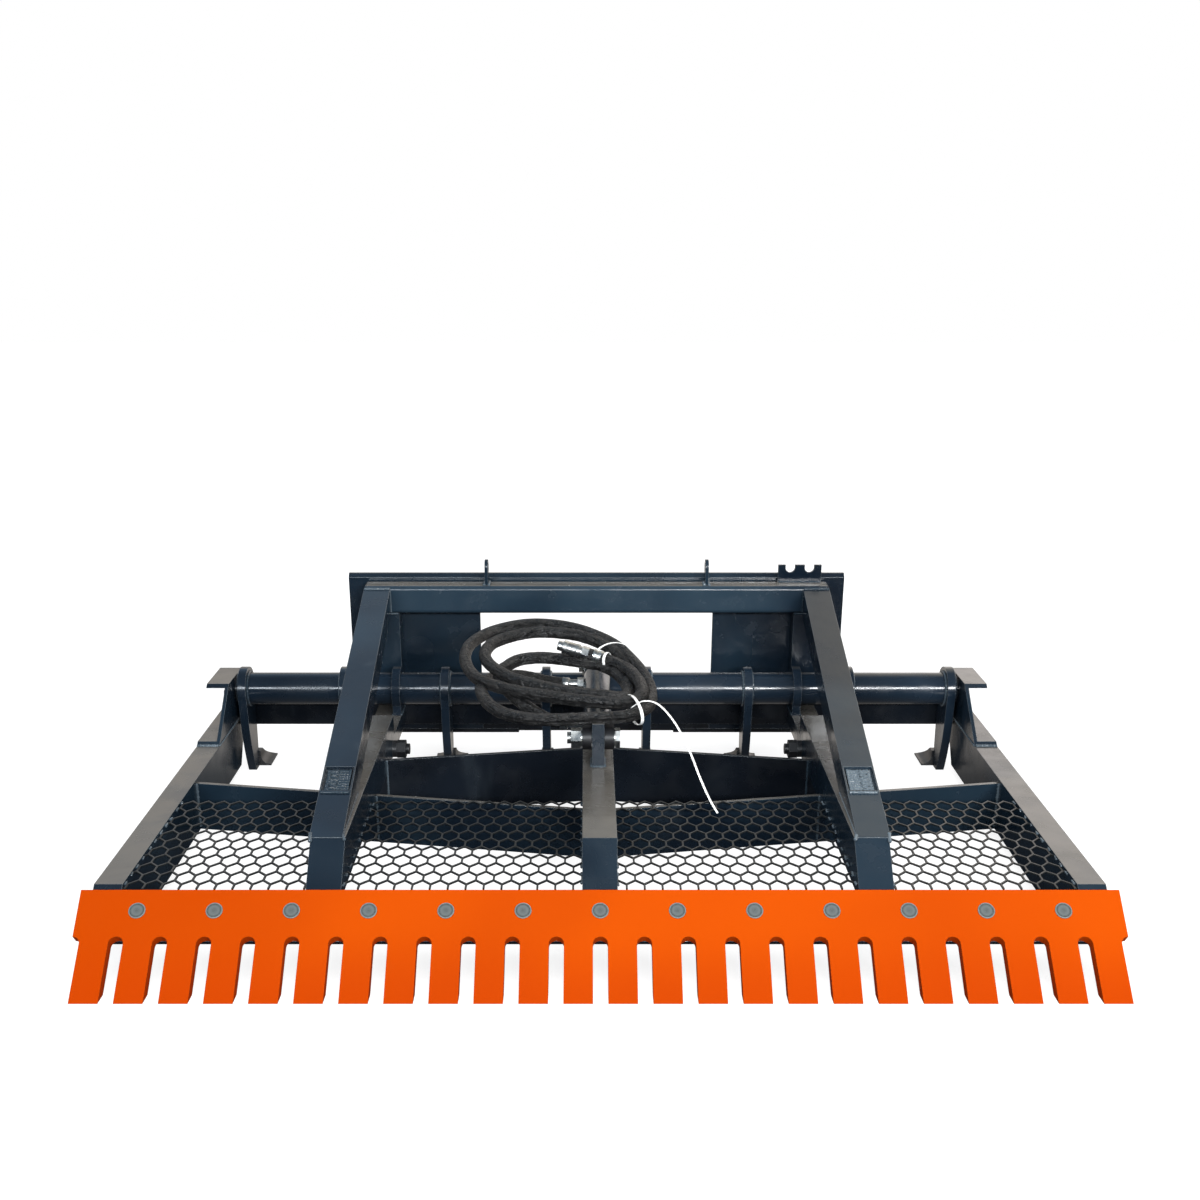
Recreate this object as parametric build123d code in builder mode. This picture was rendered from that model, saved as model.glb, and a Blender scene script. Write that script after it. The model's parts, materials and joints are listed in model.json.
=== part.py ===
from build123d import *
import os
from math import atan2, cos, hypot, radians, sin, tan

# Skid-steer soil leveller with a toothed blade and a hydraulic ripper.
# Millimetres. +X right, +Y towards the carrier machine, +Z up.
# The origin is on the ground, under the middle of the implement.

os.makedirs("parts", exist_ok=True)

SIDES = {"left": -1, "right": 1}

# ---- driving dimensions -------------------------------------------------
HALF_DEPTH = 650.0            # tooth tips to origin, and origin to pin flange

# blade
BLADE_SLOPE = 40.0            # degrees above the ground
BLADE_LENGTH = 212.0          # along the slope
BLADE_T = 20.0
TEETH = 24
TOOTH_PITCH = 76.2
BLADE_WIDTH = TEETH * TOOTH_PITCH
SLOT_WIDTH = 26.0
SLOT_TOP = 89.0               # from the blade's top edge, along the slope
BLADE_BOLTS = 13
BLADE_BOLT_PITCH = 135.0
BLADE_BOLT_DOWN = 40.0

# bolts, M16
M16_R = 8.0
M16_HOLE_R = 8.5
M16_HEAD_R = 14.9
M16_WASHER_R = 15.0
M16_WASHER_T = 3.0
M16_NUT_AF = 24.0
M16_NUT_T = 14.8

# carrier plate behind the blade
CARRIER_LENGTH = 90.0
CARRIER_T = 12.0

# side rails and their rear brackets, channels open to the outside
RAIL_IN = 850.0
RAIL_OUT = 901.0
RAIL_BOTTOM = 22.0
RAIL_TOP = 134.0
RAIL_SEAT = 40.0              # welded length on the carrier
RAIL_BOTTOM_FRONT = -462.0
RAIL_BOTTOM_END = 454.0
RAIL_END = 536.0
BRACKET_TOP = 240.0
BRACKET_FRONT = 272.0
BRACKET_TOP_FRONT = 405.0
CHANNEL_WALL = 8.0

# longitudinal beams
BEAM_IN = 460.0
BEAM_OUT = 523.0
BEAM_HALF = (BEAM_OUT - BEAM_IN) / 2
BEAM_BOTTOM = 110.0
BEAM_TOP = 196.0
BEAM_WALL = 6.0
BEND_Y = -395.0
LONG_BEAM_END = 306.0
BEAM_TAIL_TOP = 150.0
CENTRE_BEAM_END = 82.0

# arms from the long beams up to the crossbeam
ARM_IN = 465.0                # inner face at the bend
ARM_WIDTH = 61.0
ARM_SPREAD = 18.0             # each arm's outward drift from the bend to the crossbeam
ARM_END_TOP = 435.0
ARM_SPLICE_REAR = -178.0
ARM_SPLICE_FRONT = -253.0
ARM_WINDOW_DEPTH = 8.0
ARM_WINDOW_EDGE = 3.0

# cross members
CROSS_FRONT = 520.0
HITCH_FRONT = 580.0
CROSS_BOTTOM = 376.0
CROSS_TOP = 441.0
CROSS_HALF = 537.0
CROSS_CORNER_R = 10.0
TUBE_WALL = 5.0
REAR_BEAM_FRONT = 528.0
REAR_BEAM_BOTTOM = 100.0
REAR_BEAM_TOP = 165.0
POST_IN = 465.0
POST_OUT = 525.0

# levelling plates set in a V
V_T = 10.0
FRONT_V_TOP = 126.0
FRONT_V_OUTER_Y = 60.0
FRONT_V_CENTRE_Y = -94.0
REAR_V_BOTTOM = 14.0
REAR_V_TOP = 140.0
REAR_V_HALF = 520.0
REAR_V_OUTER_Y = 152.0
REAR_V_CENTRE_Y = 246.0

# expanded mesh deck
MESH_T = 3.0
MESH_PITCH_X = 31.9
MESH_ROW = 38.2
MESH_SIDE = 21.4              # length of the hexagon's straight side
MESH_STRAND = 3.4
MESH_FRONT = -466.0
MESH_REAR = -45.0

# hitch plate for a universal skid-steer coupler
HITCH_T = 8.0
HITCH_HALF = 588.0
HITCH_INNER = 278.0
HITCH_BOTTOM = 61.0
HITCH_TOP = 449.0
LIP_RISE = 9.0
STRIP_BOTTOM = 66.0
STRIP_TOP = 140.0
PIN_SLOT_X = 514.0
PIN_SLOT_Y = 619.0
PIN_SLOT_WIDTH = 34.0
PIN_SLOT_DEPTH = 40.0
FLANGE_T = 10.0
FLANGE_INNER = 190.0
FLANGE_CORNER_R = 10.0

# lifting lugs and hose comb on the crossbeam
LUG_X = 258.0
LUG_HOLE_R = 11.0
LUG_HOLE_UP = 40.0            # above the crossbeam
LUG_HALF = 18.0
LUG_T = 8.0
COMB_X = 479.0
COMB_REAR = 570.0
COMB_T = 6.0
COMB_WIDTH = 102.0
COMB_HEIGHT = 42.0
NOTCH_R = 11.0
NOTCH_DEPTH = 18.0
NOTCH_PITCH = 45.0

# ripper
PIPE_Y = 484.0
PIPE_Z = 204.0
PIPE_R = 38.0
PIPE_WALL = 8.0
PIPE_HALF = 846.0
SHANKS = 8
SHANK_OUTER_X = 830.0
SHANK_PITCH = 2 * SHANK_OUTER_X / (SHANKS - 1)
SHANK_T = 19.0
SHANK_RING_R = 52.0
POINT_HALF = 38.0             # at the flared edge
POINT_NECK_HALF = 14.0
POINT_HEIGHT = 36.0
POINT_START = 25.5            # behind the pipe's axis
POINT_TIP = 106.0
POINT_CLEAR_X = 848.0         # the outermost points stop short of the side rails
STUB_R = 20.0
STUB_END = 873.0
STUB_PLUG = 30.0
RUNNING_GAP = 0.05
THREAD_GAP = 0.02

# outer bearings
BEARING_SPIGOT_R = 26.0
BEARING_FLANGE_T = 8.0
BEARING_FLANGE_HALF = 56.0
BEARING_FLANGE_HEIGHT = 54.0
BEARING_BOLT_OFFSET = 40.0
BEARING_BOLT_R = 6.0
BEARING_BOLT_HEAD_AF = 19.0
BEARING_BOLT_HEAD_T = 6.0
BEARING_BOSS_END = 866.0
COLLAR_START = 866.5
COLLAR_R = 27.0

# brackets that hold the pipe over the long beams' tails
PIPE_BRACKET_IN = 460.5
PIPE_BRACKET_T = 19.0
PIPE_BRACKET_R = 52.0
PIPE_BRACKET_FOOT_HALF = 42.0

# bolts, M24
M24_R = 12.0
M24_HOLE_R = 12.5
M24_AF = 36.0
M24_HEAD_T = 15.0
M24_NUT_T = 20.0
M24_WASHER_R = 19.0
M24_WASHER_T = 3.0
M24_END = 8.0                 # thread left past the nut
JOINT_WASHER_T = 10.0
JOINT_BOLT_Y = 275.0
JOINT_BOLT_Z = 127.0

# hydraulic cylinder
BASE_Y = -4.0
BASE_Z = 251.0
LEVER_R = 76.0
LEVER_TILT = -30.0            # degrees from upright at rest, towards the blade
OPEN_PIVOT_OFFSET = 5.1       # pin above the lever eye's centre at rest
OPEN_PIVOT_GAP = 5.7          # radial gap of the pin in the lever eye
PIN_R = 12.5
PIN_HEAD_R = 18.0
PIN_HEAD_T = 8.0
PIN_WASHER_R = 28.0
PIN_WASHER_T = 5.0
PIN_WASHER_GAP = 0.5
LEVER_IN = 16.0
LEVER_T = 12.0
LEVER_EYE_R = 32.0
LEVER_RING_R = 58.0
BARREL_R = 30.0
BORE_R = 25.0
ROD_R = 15.0
EAR_IN = 13.0
EAR_T = 19.5
BASE_EYE_R = 24.0
BASE_HEAD_T = 9.0
BASE_LUG_HALF = 12.5
BASE_LUG_FRONT = -30.0
BASE_LUG_REAR = 22.0
BASE_LUG_TOP = 288.0

# places along the cylinder, from its base pivot
CLEVIS_END = 46.0
CAP_END = 60.0
CAP_R = 32.5
BARREL_END = 335.0
GLAND_INSET = 8.0
GLAND_END = 357.0
PISTON_START = 88.0
PISTON_END = 115.0
SEAL_START = 97.0
SEAL_WIDTH = 8.0
SEAL_IN_R = 21.0
STUD_R = 10.0
NECK_START = 400.0
NECK_R = 19.0
ROD_END = 421.0
PORT_STATIONS = (82.0, 318.0)
PORT_R = 7.0
PORT_HEX_AF = 26.0
PORT_HEX_T = 14.0
PORT_NOSE_R = 10.0
PORT_NOSE_LENGTH = 22.0

# hoses
HOSE_R = 13.2
PRESSURE_COIL_R = 200.0
RETURN_COIL_R = 172.0
COIL_X = -90.0
COIL_Y = 245.0
COIL_SLOPE = 0.2              # rise towards the machine
COIL_FRONT_Y = 45.0
COIL_FRONT_Z = 304.0
COUPLER_PLACES = ((-40.0, 330.0), (95.0, 70.0))
COUPLER_RISE = 6.0            # above the coils
COUPLER_R = 13.0
COUPLER_LENGTH = 60.0
TIE_BAND_LENGTH = 58.0
TIE_BAND_HEIGHT = 36.0
TIE_WIDTH = 8.0
TIE_T = 1.5
TIE_TAIL = ((128, 236, 352), (180, 150, 345), (222, 60, 260), (244, -30, 145))

# ---- derived places -----------------------------------------------------
SLOPE_COS = cos(radians(BLADE_SLOPE))
SLOPE_SIN = sin(radians(BLADE_SLOPE))
BLADE_TOP_Y = -HALF_DEPTH + BLADE_LENGTH * SLOPE_COS
BLADE_TOP_Z = BLADE_LENGTH * SLOPE_SIN
BLADE_FACE = Plane(
    origin=(0, BLADE_TOP_Y, BLADE_TOP_Z),
    x_dir=(1, 0, 0),
    z_dir=(0, -SLOPE_SIN, SLOPE_COS),
)
CARRIER_BACK = BLADE_T + CARRIER_T
ARM_RISE = (ARM_END_TOP - BEAM_TOP) / (CROSS_FRONT - BEND_Y)
ARM_SPLAY = ARM_SPREAD / (CROSS_FRONT - BEND_Y)
ARM_DEPTH = ARM_END_TOP - CROSS_BOTTOM
ARM_LANDING_Y = CROSS_FRONT - (CROSS_BOTTOM - BEAM_TOP) / ARM_RISE

LEVER_EYE_Y = PIPE_Y + LEVER_R * sin(radians(LEVER_TILT))
LEVER_EYE_Z = PIPE_Z + LEVER_R * cos(radians(LEVER_TILT))
PIN_Y = LEVER_EYE_Y
PIN_Z = LEVER_EYE_Z + OPEN_PIVOT_OFFSET
CYLINDER_ANGLE = atan2(PIN_Z - BASE_Z, PIN_Y - BASE_Y)
PIN_TO_PIN = hypot(PIN_Y - BASE_Y, PIN_Z - BASE_Z)
CYL_COS = cos(CYLINDER_ANGLE)
CYL_SIN = sin(CYLINDER_ANGLE)
# z runs along the cylinder from its base pivot, y points down
CYLINDER_AXIS = Plane(origin=(0, BASE_Y, BASE_Z), x_dir=(1, 0, 0), z_dir=(0, CYL_COS, CYL_SIN))


def slope_point(down, depth):
    """(y, z) of a point this far down the blade's slope and this deep behind its face."""
    return (
        BLADE_TOP_Y - down * SLOPE_COS + depth * SLOPE_SIN,
        BLADE_TOP_Z - down * SLOPE_SIN - depth * SLOPE_COS,
    )


def slope_at_height(z, depth):
    """(y, z) where the plane this deep behind the blade's face has height z."""
    start_y, start_z = slope_point(0, depth)
    return (start_y + (z - start_z) / tan(radians(BLADE_SLOPE)), z)


def arm_top(y):
    return ARM_END_TOP - (CROSS_FRONT - y) * ARM_RISE


def arm_plan(side, wall, end_y):
    """Corners of a splayed arm seen from above, this far inside its faces."""
    drift = (end_y - BEND_Y) * ARM_SPLAY
    return (
        (side * (ARM_IN + wall), BEND_Y),
        (side * (ARM_IN + wall + drift), end_y),
        (side * (ARM_IN + ARM_WIDTH - wall + drift), end_y),
        (side * (ARM_IN + ARM_WIDTH - wall), BEND_Y),
    )


def finish(builder, name):
    """Label a finished piece and write its STEP file."""
    builder.part.label = name
    export_step(builder.part, f"parts/{name}.step")


# ---- blade and carrier --------------------------------------------------
def make_blade():
    with BuildPart() as blade:
        with BuildSketch(BLADE_FACE):
            Rectangle(BLADE_WIDTH, BLADE_LENGTH, align=(Align.CENTER, Align.MAX))
            with Locations((0, -SLOT_TOP - SLOT_WIDTH / 2)):
                with GridLocations(TOOTH_PITCH, 1, TEETH + 1, 1):
                    Circle(SLOT_WIDTH / 2, mode=Mode.SUBTRACT)
                    Rectangle(
                        SLOT_WIDTH, BLADE_LENGTH, align=(Align.CENTER, Align.MAX), mode=Mode.SUBTRACT
                    )
        extrude(amount=-BLADE_T)
        with Locations(BLADE_FACE):
            with Locations((0, -BLADE_BOLT_DOWN)):
                with GridLocations(BLADE_BOLT_PITCH, 1, BLADE_BOLTS, 1):
                    CounterSinkHole(
                        radius=M16_HOLE_R,
                        counter_sink_radius=M16_HEAD_R + 0.4,
                        depth=2 * BLADE_T,
                        counter_sink_angle=90,
                    )
        # the tooth ends are worn level with the ground
        split(bisect_by=Plane.XY, keep=Keep.TOP)
    finish(blade, "toothed_blade")


def make_carrier():
    with BuildPart() as carrier:
        with BuildSketch(BLADE_FACE.offset(-BLADE_T)):
            Rectangle(2 * RAIL_OUT, CARRIER_LENGTH, align=(Align.CENTER, Align.MAX))
            with Locations((0, -BLADE_BOLT_DOWN)):
                with GridLocations(BLADE_BOLT_PITCH, 1, BLADE_BOLTS, 1):
                    Circle(M16_HOLE_R, mode=Mode.SUBTRACT)
        extrude(amount=-CARRIER_T)
    finish(carrier, "front_carrier")


def make_blade_fasteners():
    head_depth = M16_HEAD_R - M16_R
    head_proud = 1.2
    bolt_length = CARRIER_BACK + M16_WASHER_T + M16_NUT_T + 6
    with BuildPart() as bolts:
        with Locations(BLADE_FACE):
            with Locations((0, -BLADE_BOLT_DOWN)):
                with GridLocations(BLADE_BOLT_PITCH, 1, BLADE_BOLTS, 1):
                    Cylinder(M16_R, bolt_length, align=(Align.CENTER, Align.CENTER, Align.MAX))
                    Cone(M16_R, M16_HEAD_R, head_depth, align=(Align.CENTER, Align.CENTER, Align.MAX))
                    Cylinder(M16_HEAD_R, head_proud, align=(Align.CENTER, Align.CENTER, Align.MIN))
        face_axis = Axis(BLADE_FACE.origin, BLADE_FACE.z_dir)
        fillet(bolts.edges().group_by(face_axis)[-1], radius=0.8)
    finish(bolts, "blade_bolts")

    with BuildPart() as washers:
        with BuildSketch(BLADE_FACE.offset(-CARRIER_BACK)):
            with Locations((0, -BLADE_BOLT_DOWN)):
                with GridLocations(BLADE_BOLT_PITCH, 1, BLADE_BOLTS, 1):
                    Circle(M16_WASHER_R)
                    Circle(M16_HOLE_R, mode=Mode.SUBTRACT)
        extrude(amount=-M16_WASHER_T)
    finish(washers, "blade_washers")

    with BuildPart() as nuts:
        with BuildSketch(BLADE_FACE.offset(-CARRIER_BACK - M16_WASHER_T)):
            with Locations((0, -BLADE_BOLT_DOWN)):
                with GridLocations(BLADE_BOLT_PITCH, 1, BLADE_BOLTS, 1):
                    RegularPolygon(M16_NUT_AF / 2, 6, major_radius=False)
                    Circle(M16_R + 0.02, mode=Mode.SUBTRACT)
        extrude(amount=-M16_NUT_T)
    finish(nuts, "blade_nuts")


# ---- frame --------------------------------------------------------------
def make_rail(name, side):
    """C-channel: web inside, flanges outwards, mitred on the carrier at the front."""
    with BuildPart() as rail:
        with BuildSketch(Plane.YZ.offset(side * RAIL_IN)):
            Polygon(
                slope_at_height(RAIL_TOP, BLADE_T),
                slope_point(0, BLADE_T),
                slope_point(0, CARRIER_BACK),
                slope_point(RAIL_SEAT, CARRIER_BACK),
                (RAIL_BOTTOM_FRONT, RAIL_BOTTOM),
                (RAIL_BOTTOM_END, RAIL_BOTTOM),
                (RAIL_END, RAIL_TOP),
                align=None,
            )
        extrude(amount=side * (RAIL_OUT - RAIL_IN))
        with Locations((side * (RAIL_IN + CHANNEL_WALL), 0, RAIL_BOTTOM + CHANNEL_WALL)):
            Box(
                2 * (RAIL_OUT - RAIL_IN),
                4 * HALF_DEPTH,
                RAIL_TOP - RAIL_BOTTOM - 2 * CHANNEL_WALL,
                align=(Align.MIN if side > 0 else Align.MAX, Align.CENTER, Align.MIN),
                mode=Mode.SUBTRACT,
            )
    finish(rail, f"side_rail_{name}")


def make_bracket(name, side):
    """Trapezoid channel on the rail's rear end, carrying the ripper's outer bearing."""
    with BuildPart() as bracket:
        with BuildSketch(Plane.YZ.offset(side * RAIL_IN)):
            Polygon(
                (BRACKET_FRONT, RAIL_TOP),
                (RAIL_END, RAIL_TOP),
                (RAIL_END, BRACKET_TOP),
                (BRACKET_TOP_FRONT, BRACKET_TOP),
                align=None,
            )
        extrude(amount=side * (RAIL_OUT - RAIL_IN))
        with Locations((side * (RAIL_IN + CHANNEL_WALL), 0, RAIL_TOP + CHANNEL_WALL)):
            Box(
                2 * (RAIL_OUT - RAIL_IN),
                4 * HALF_DEPTH,
                BRACKET_TOP - RAIL_TOP - 2 * CHANNEL_WALL,
                align=(Align.MIN if side > 0 else Align.MAX, Align.CENTER, Align.MIN),
                mode=Mode.SUBTRACT,
            )
        with BuildSketch(Plane.YZ.offset(side * RAIL_IN)):
            with Locations((PIPE_Y, PIPE_Z)):
                Circle(BEARING_SPIGOT_R)
        extrude(amount=side * CHANNEL_WALL, mode=Mode.SUBTRACT)
    finish(bracket, f"rail_bracket_{name}")


def beam_nose():
    """Front end of a longitudinal beam: sloped face, then the seat on the carrier."""
    return (
        (BEND_Y, BEAM_TOP),
        slope_point(0, BLADE_T),
        slope_point(0, CARRIER_BACK),
        slope_at_height(BEAM_BOTTOM, CARRIER_BACK),
    )


def beam_hollow_nose():
    wall_slope = (BEAM_TOP - slope_point(0, BLADE_T)[1]) / (BEND_Y - slope_point(0, BLADE_T)[0])
    nose_y = slope_point(0, BLADE_T)[0] + BLADE_T
    run_up = (BEAM_TOP - BEAM_BOTTOM) / wall_slope
    return (
        (nose_y, BEAM_BOTTOM + BEAM_WALL),
        (nose_y, BEAM_BOTTOM + 3.5 * BEAM_WALL),
        (nose_y + run_up - 3 * BEAM_WALL, BEAM_TOP - BEAM_WALL),
    )


def make_long_beam(name, side):
    """Box beam under the arm; its low tail runs under the ripper pipe to the rear beam."""
    start = side * BEAM_IN
    width = BEAM_OUT - BEAM_IN
    with BuildPart() as beam:
        with BuildSketch(Plane.YZ.offset(start)):
            Polygon(
                *beam_nose(),
                (REAR_BEAM_FRONT, BEAM_BOTTOM),
                (REAR_BEAM_FRONT, BEAM_TAIL_TOP),
                (LONG_BEAM_END, BEAM_TAIL_TOP),
                (LONG_BEAM_END, BEAM_TOP),
                align=None,
            )
        extrude(amount=side * width)
        with BuildSketch(Plane.YZ.offset(start + side * BEAM_WALL)):
            Polygon(
                *beam_hollow_nose(),
                (LONG_BEAM_END - BEAM_WALL, BEAM_TOP - BEAM_WALL),
                (LONG_BEAM_END - BEAM_WALL, BEAM_TAIL_TOP - BEAM_WALL),
                (REAR_BEAM_FRONT + BEAM_WALL, BEAM_TAIL_TOP - BEAM_WALL),
                (REAR_BEAM_FRONT + BEAM_WALL, BEAM_BOTTOM + BEAM_WALL),
                align=None,
            )
        extrude(amount=side * (width - 2 * BEAM_WALL), mode=Mode.SUBTRACT)
        with BuildSketch(Plane.YZ.offset(start)):
            with Locations((JOINT_BOLT_Y, JOINT_BOLT_Z)):
                Circle(M24_HOLE_R)
        extrude(amount=side * width, mode=Mode.SUBTRACT)
    finish(beam, f"long_beam_{name}")


def make_centre_beam():
    with BuildPart() as beam:
        with BuildSketch(Plane.YZ.offset(-BEAM_HALF)):
            Polygon(
                *beam_nose(),
                (CENTRE_BEAM_END, BEAM_BOTTOM),
                (CENTRE_BEAM_END, BEAM_TOP),
                align=None,
            )
        extrude(amount=2 * BEAM_HALF)
        with BuildSketch(Plane.YZ.offset(-BEAM_HALF + BEAM_WALL)):
            Polygon(
                *beam_hollow_nose(),
                (CENTRE_BEAM_END + BEAM_WALL, BEAM_TOP - BEAM_WALL),
                (CENTRE_BEAM_END + BEAM_WALL, BEAM_BOTTOM + BEAM_WALL),
                align=None,
            )
        extrude(amount=2 * (BEAM_HALF - BEAM_WALL), mode=Mode.SUBTRACT)
    finish(beam, "centre_beam")


def make_arm(name, side):
    """Sloping, splayed box arm, cut flat where it lands on the long beam."""
    wall_drop = BEAM_WALL / cos(atan2(ARM_RISE, 1))
    past_end = CROSS_FRONT + BEAM_WALL
    hollow_low_y = ARM_LANDING_Y + 1.5 * BEAM_WALL
    hollow_high_y = ARM_SPLICE_FRONT + 3.5 * BEAM_WALL
    with BuildPart() as hollow:
        with BuildSketch():
            Polygon(*arm_plan(side, BEAM_WALL, past_end), align=None)
        extrude(amount=CROSS_TOP)
        with BuildSketch(Plane.YZ):
            Polygon(
                (past_end, arm_top(past_end) - wall_drop),
                (past_end, arm_top(past_end) - ARM_DEPTH + wall_drop),
                (hollow_low_y, arm_top(hollow_low_y) - ARM_DEPTH + wall_drop),
                (hollow_high_y, arm_top(hollow_high_y) - wall_drop),
                align=None,
            )
        extrude(amount=side * RAIL_IN, mode=Mode.INTERSECT)

    window_front = ARM_SPLICE_FRONT - ARM_WINDOW_DEPTH
    with BuildPart() as window:
        with BuildSketch():
            Polygon(*arm_plan(side, ARM_WINDOW_EDGE, past_end), align=None)
        extrude(amount=CROSS_TOP)
        with BuildSketch(Plane.YZ):
            Polygon(
                (ARM_SPLICE_REAR, arm_top(ARM_SPLICE_REAR) + ARM_WINDOW_DEPTH),
                (ARM_SPLICE_REAR, arm_top(ARM_SPLICE_REAR) - ARM_WINDOW_DEPTH),
                (window_front, arm_top(window_front) - ARM_WINDOW_DEPTH),
                (window_front, arm_top(window_front) + ARM_WINDOW_DEPTH),
                align=None,
            )
        extrude(amount=side * RAIL_IN, mode=Mode.INTERSECT)

    with BuildPart() as arm:
        with BuildSketch():
            Polygon(*arm_plan(side, 0, CROSS_FRONT), align=None)
        extrude(amount=CROSS_TOP)
        with BuildSketch(Plane.YZ):
            Polygon(
                (CROSS_FRONT, ARM_END_TOP),
                (CROSS_FRONT, CROSS_BOTTOM),
                (ARM_LANDING_Y, BEAM_TOP),
                (ARM_SPLICE_FRONT, arm_top(ARM_SPLICE_FRONT)),
                align=None,
            )
        extrude(amount=side * RAIL_IN, mode=Mode.INTERSECT)
        add(hollow.part, mode=Mode.SUBTRACT)
        add(window.part, mode=Mode.SUBTRACT)
    finish(arm, f"arm_{name}")


def make_arm_feet():
    """Wedges that close the arms down to the bend in the long beams."""
    with BuildPart() as feet:
        with BuildSketch():
            for side in SIDES.values():
                Polygon(*arm_plan(side, 0, CROSS_FRONT), align=None)
        extrude(amount=CROSS_TOP)
        with BuildSketch(Plane.YZ.offset(-RAIL_IN)):
            Polygon(
                (ARM_SPLICE_FRONT, arm_top(ARM_SPLICE_FRONT)),
                (ARM_LANDING_Y, BEAM_TOP),
                (BEND_Y, BEAM_TOP),
                align=None,
            )
        extrude(amount=2 * RAIL_IN, mode=Mode.INTERSECT)
    finish(feet, "arm_feet")


def make_v_plate(name, outer_x, outer_y, centre_y, bottom, top, beam_places):
    """Upright plate bent to a V, notched where the beams pass over it."""
    with BuildPart() as plate:
        with BuildSketch(Plane.XY.offset(bottom)):
            Polygon(
                (-outer_x, outer_y),
                (0, centre_y),
                (outer_x, outer_y),
                (outer_x, outer_y + V_T),
                (0, centre_y + V_T),
                (-outer_x, outer_y + V_T),
                align=None,
            )
        extrude(amount=top - bottom)
        for beam_x in beam_places:
            with Locations((beam_x, 0, BEAM_BOTTOM)):
                Box(
                    2 * BEAM_HALF,
                    2 * HALF_DEPTH,
                    BEAM_TOP - BEAM_BOTTOM,
                    align=(Align.CENTER, Align.CENTER, Align.MIN),
                    mode=Mode.SUBTRACT,
                )
    finish(plate, name)


def make_mesh_panels(name, x_near, x_far):
    """A pair of hexagonal mesh panels; their rear edges end on whole hexagons."""
    half_side = MESH_SIDE / 2
    half_x = MESH_PITCH_X / 2
    apex = MESH_ROW - half_side
    rise = apex - half_side
    strand_rise = MESH_STRAND / 2 * hypot(rise, half_x) / half_x
    hole_x = half_x - MESH_STRAND / 2
    hole_apex = apex - strand_rise
    hole_side = hole_apex - hole_x * rise / half_x
    rear_row_y = MESH_REAR - apex - strand_rise
    shoulder = half_side + strand_rise
    rows = int((MESH_REAR - MESH_FRONT) / MESH_ROW) + 2
    last_column = int(x_far / MESH_PITCH_X) + 2
    columns = range(-last_column, last_column + 1)
    cells = [
        (column * MESH_PITCH_X + (row % 2) * half_x, rear_row_y - row * MESH_ROW)
        for row in range(rows)
        for column in columns
    ]
    rear_cells = [(x, y) for x, y in cells if y == rear_row_y]
    with BuildPart() as panel:
        with BuildSketch(Plane.XY.offset(FRONT_V_TOP)):
            with Locations((0, rear_row_y + shoulder)):
                Rectangle(2 * x_far, MESH_REAR - MESH_FRONT, align=(Align.CENTER, Align.MAX))
            with Locations(*rear_cells):
                Polygon((-half_x, shoulder), (half_x, shoulder), (0, apex + strand_rise), align=None)
            with Locations(*cells):
                Polygon(
                    (0, hole_apex),
                    (-hole_x, hole_side),
                    (-hole_x, -hole_side),
                    (0, -hole_apex),
                    (hole_x, -hole_side),
                    (hole_x, hole_side),
                    align=None,
                    mode=Mode.SUBTRACT,
                )
            with Locations((0, MESH_FRONT)):
                Rectangle(
                    2 * x_far,
                    MESH_REAR - MESH_FRONT,
                    align=(Align.CENTER, Align.MIN),
                    mode=Mode.INTERSECT,
                )
            Rectangle(2 * x_near, 4 * HALF_DEPTH, mode=Mode.SUBTRACT)
        extrude(amount=MESH_T)
    finish(panel, name)


def make_cross_members():
    cross_middle = ((CROSS_FRONT + HITCH_FRONT) / 2, (CROSS_BOTTOM + CROSS_TOP) / 2)
    cross_depth = HITCH_FRONT - CROSS_FRONT
    cross_height = CROSS_TOP - CROSS_BOTTOM
    with BuildPart() as cross:
        with BuildSketch(Plane.YZ.offset(-CROSS_HALF)):
            with Locations(cross_middle):
                RectangleRounded(cross_depth, cross_height, CROSS_CORNER_R)
                RectangleRounded(
                    cross_depth - 2 * TUBE_WALL,
                    cross_height - 2 * TUBE_WALL,
                    CROSS_CORNER_R - TUBE_WALL,
                    mode=Mode.SUBTRACT,
                )
        extrude(amount=2 * CROSS_HALF)
    finish(cross, "top_crossbeam")

    with BuildPart() as caps:
        for side in SIDES.values():
            with BuildSketch(Plane.YZ.offset(side * CROSS_HALF)):
                with Locations(cross_middle):
                    RectangleRounded(cross_depth, cross_height, CROSS_CORNER_R)
            extrude(amount=side * TUBE_WALL)
    finish(caps, "crossbeam_end_caps")

    rear_depth = HITCH_FRONT - REAR_BEAM_FRONT
    rear_height = REAR_BEAM_TOP - REAR_BEAM_BOTTOM
    with BuildPart() as rear:
        with BuildSketch(Plane.YZ.offset(-RAIL_IN)):
            with Locations(((REAR_BEAM_FRONT + HITCH_FRONT) / 2, (REAR_BEAM_BOTTOM + REAR_BEAM_TOP) / 2)):
                Rectangle(rear_depth, rear_height)
                Rectangle(
                    rear_depth - 2 * TUBE_WALL, rear_height - 2 * TUBE_WALL, mode=Mode.SUBTRACT
                )
        extrude(amount=2 * RAIL_IN)
    finish(rear, "rear_beam")


def make_posts():
    """Square tubes from the rear beam up to the crossbeam."""
    post_width = POST_OUT - POST_IN
    post_depth = HITCH_FRONT - REAR_BEAM_FRONT
    post_x = (POST_IN + POST_OUT) / 2
    post_y = (HITCH_FRONT + REAR_BEAM_FRONT) / 2
    with BuildPart() as posts:
        with BuildSketch(Plane.XY.offset(REAR_BEAM_TOP)):
            with Locations((-post_x, post_y), (post_x, post_y)):
                Rectangle(post_width, post_depth)
                Rectangle(
                    post_width - 2 * TUBE_WALL, post_depth - 2 * TUBE_WALL, mode=Mode.SUBTRACT
                )
        extrude(amount=CROSS_BOTTOM - REAR_BEAM_TOP)
    finish(posts, "hitch_posts")


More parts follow.
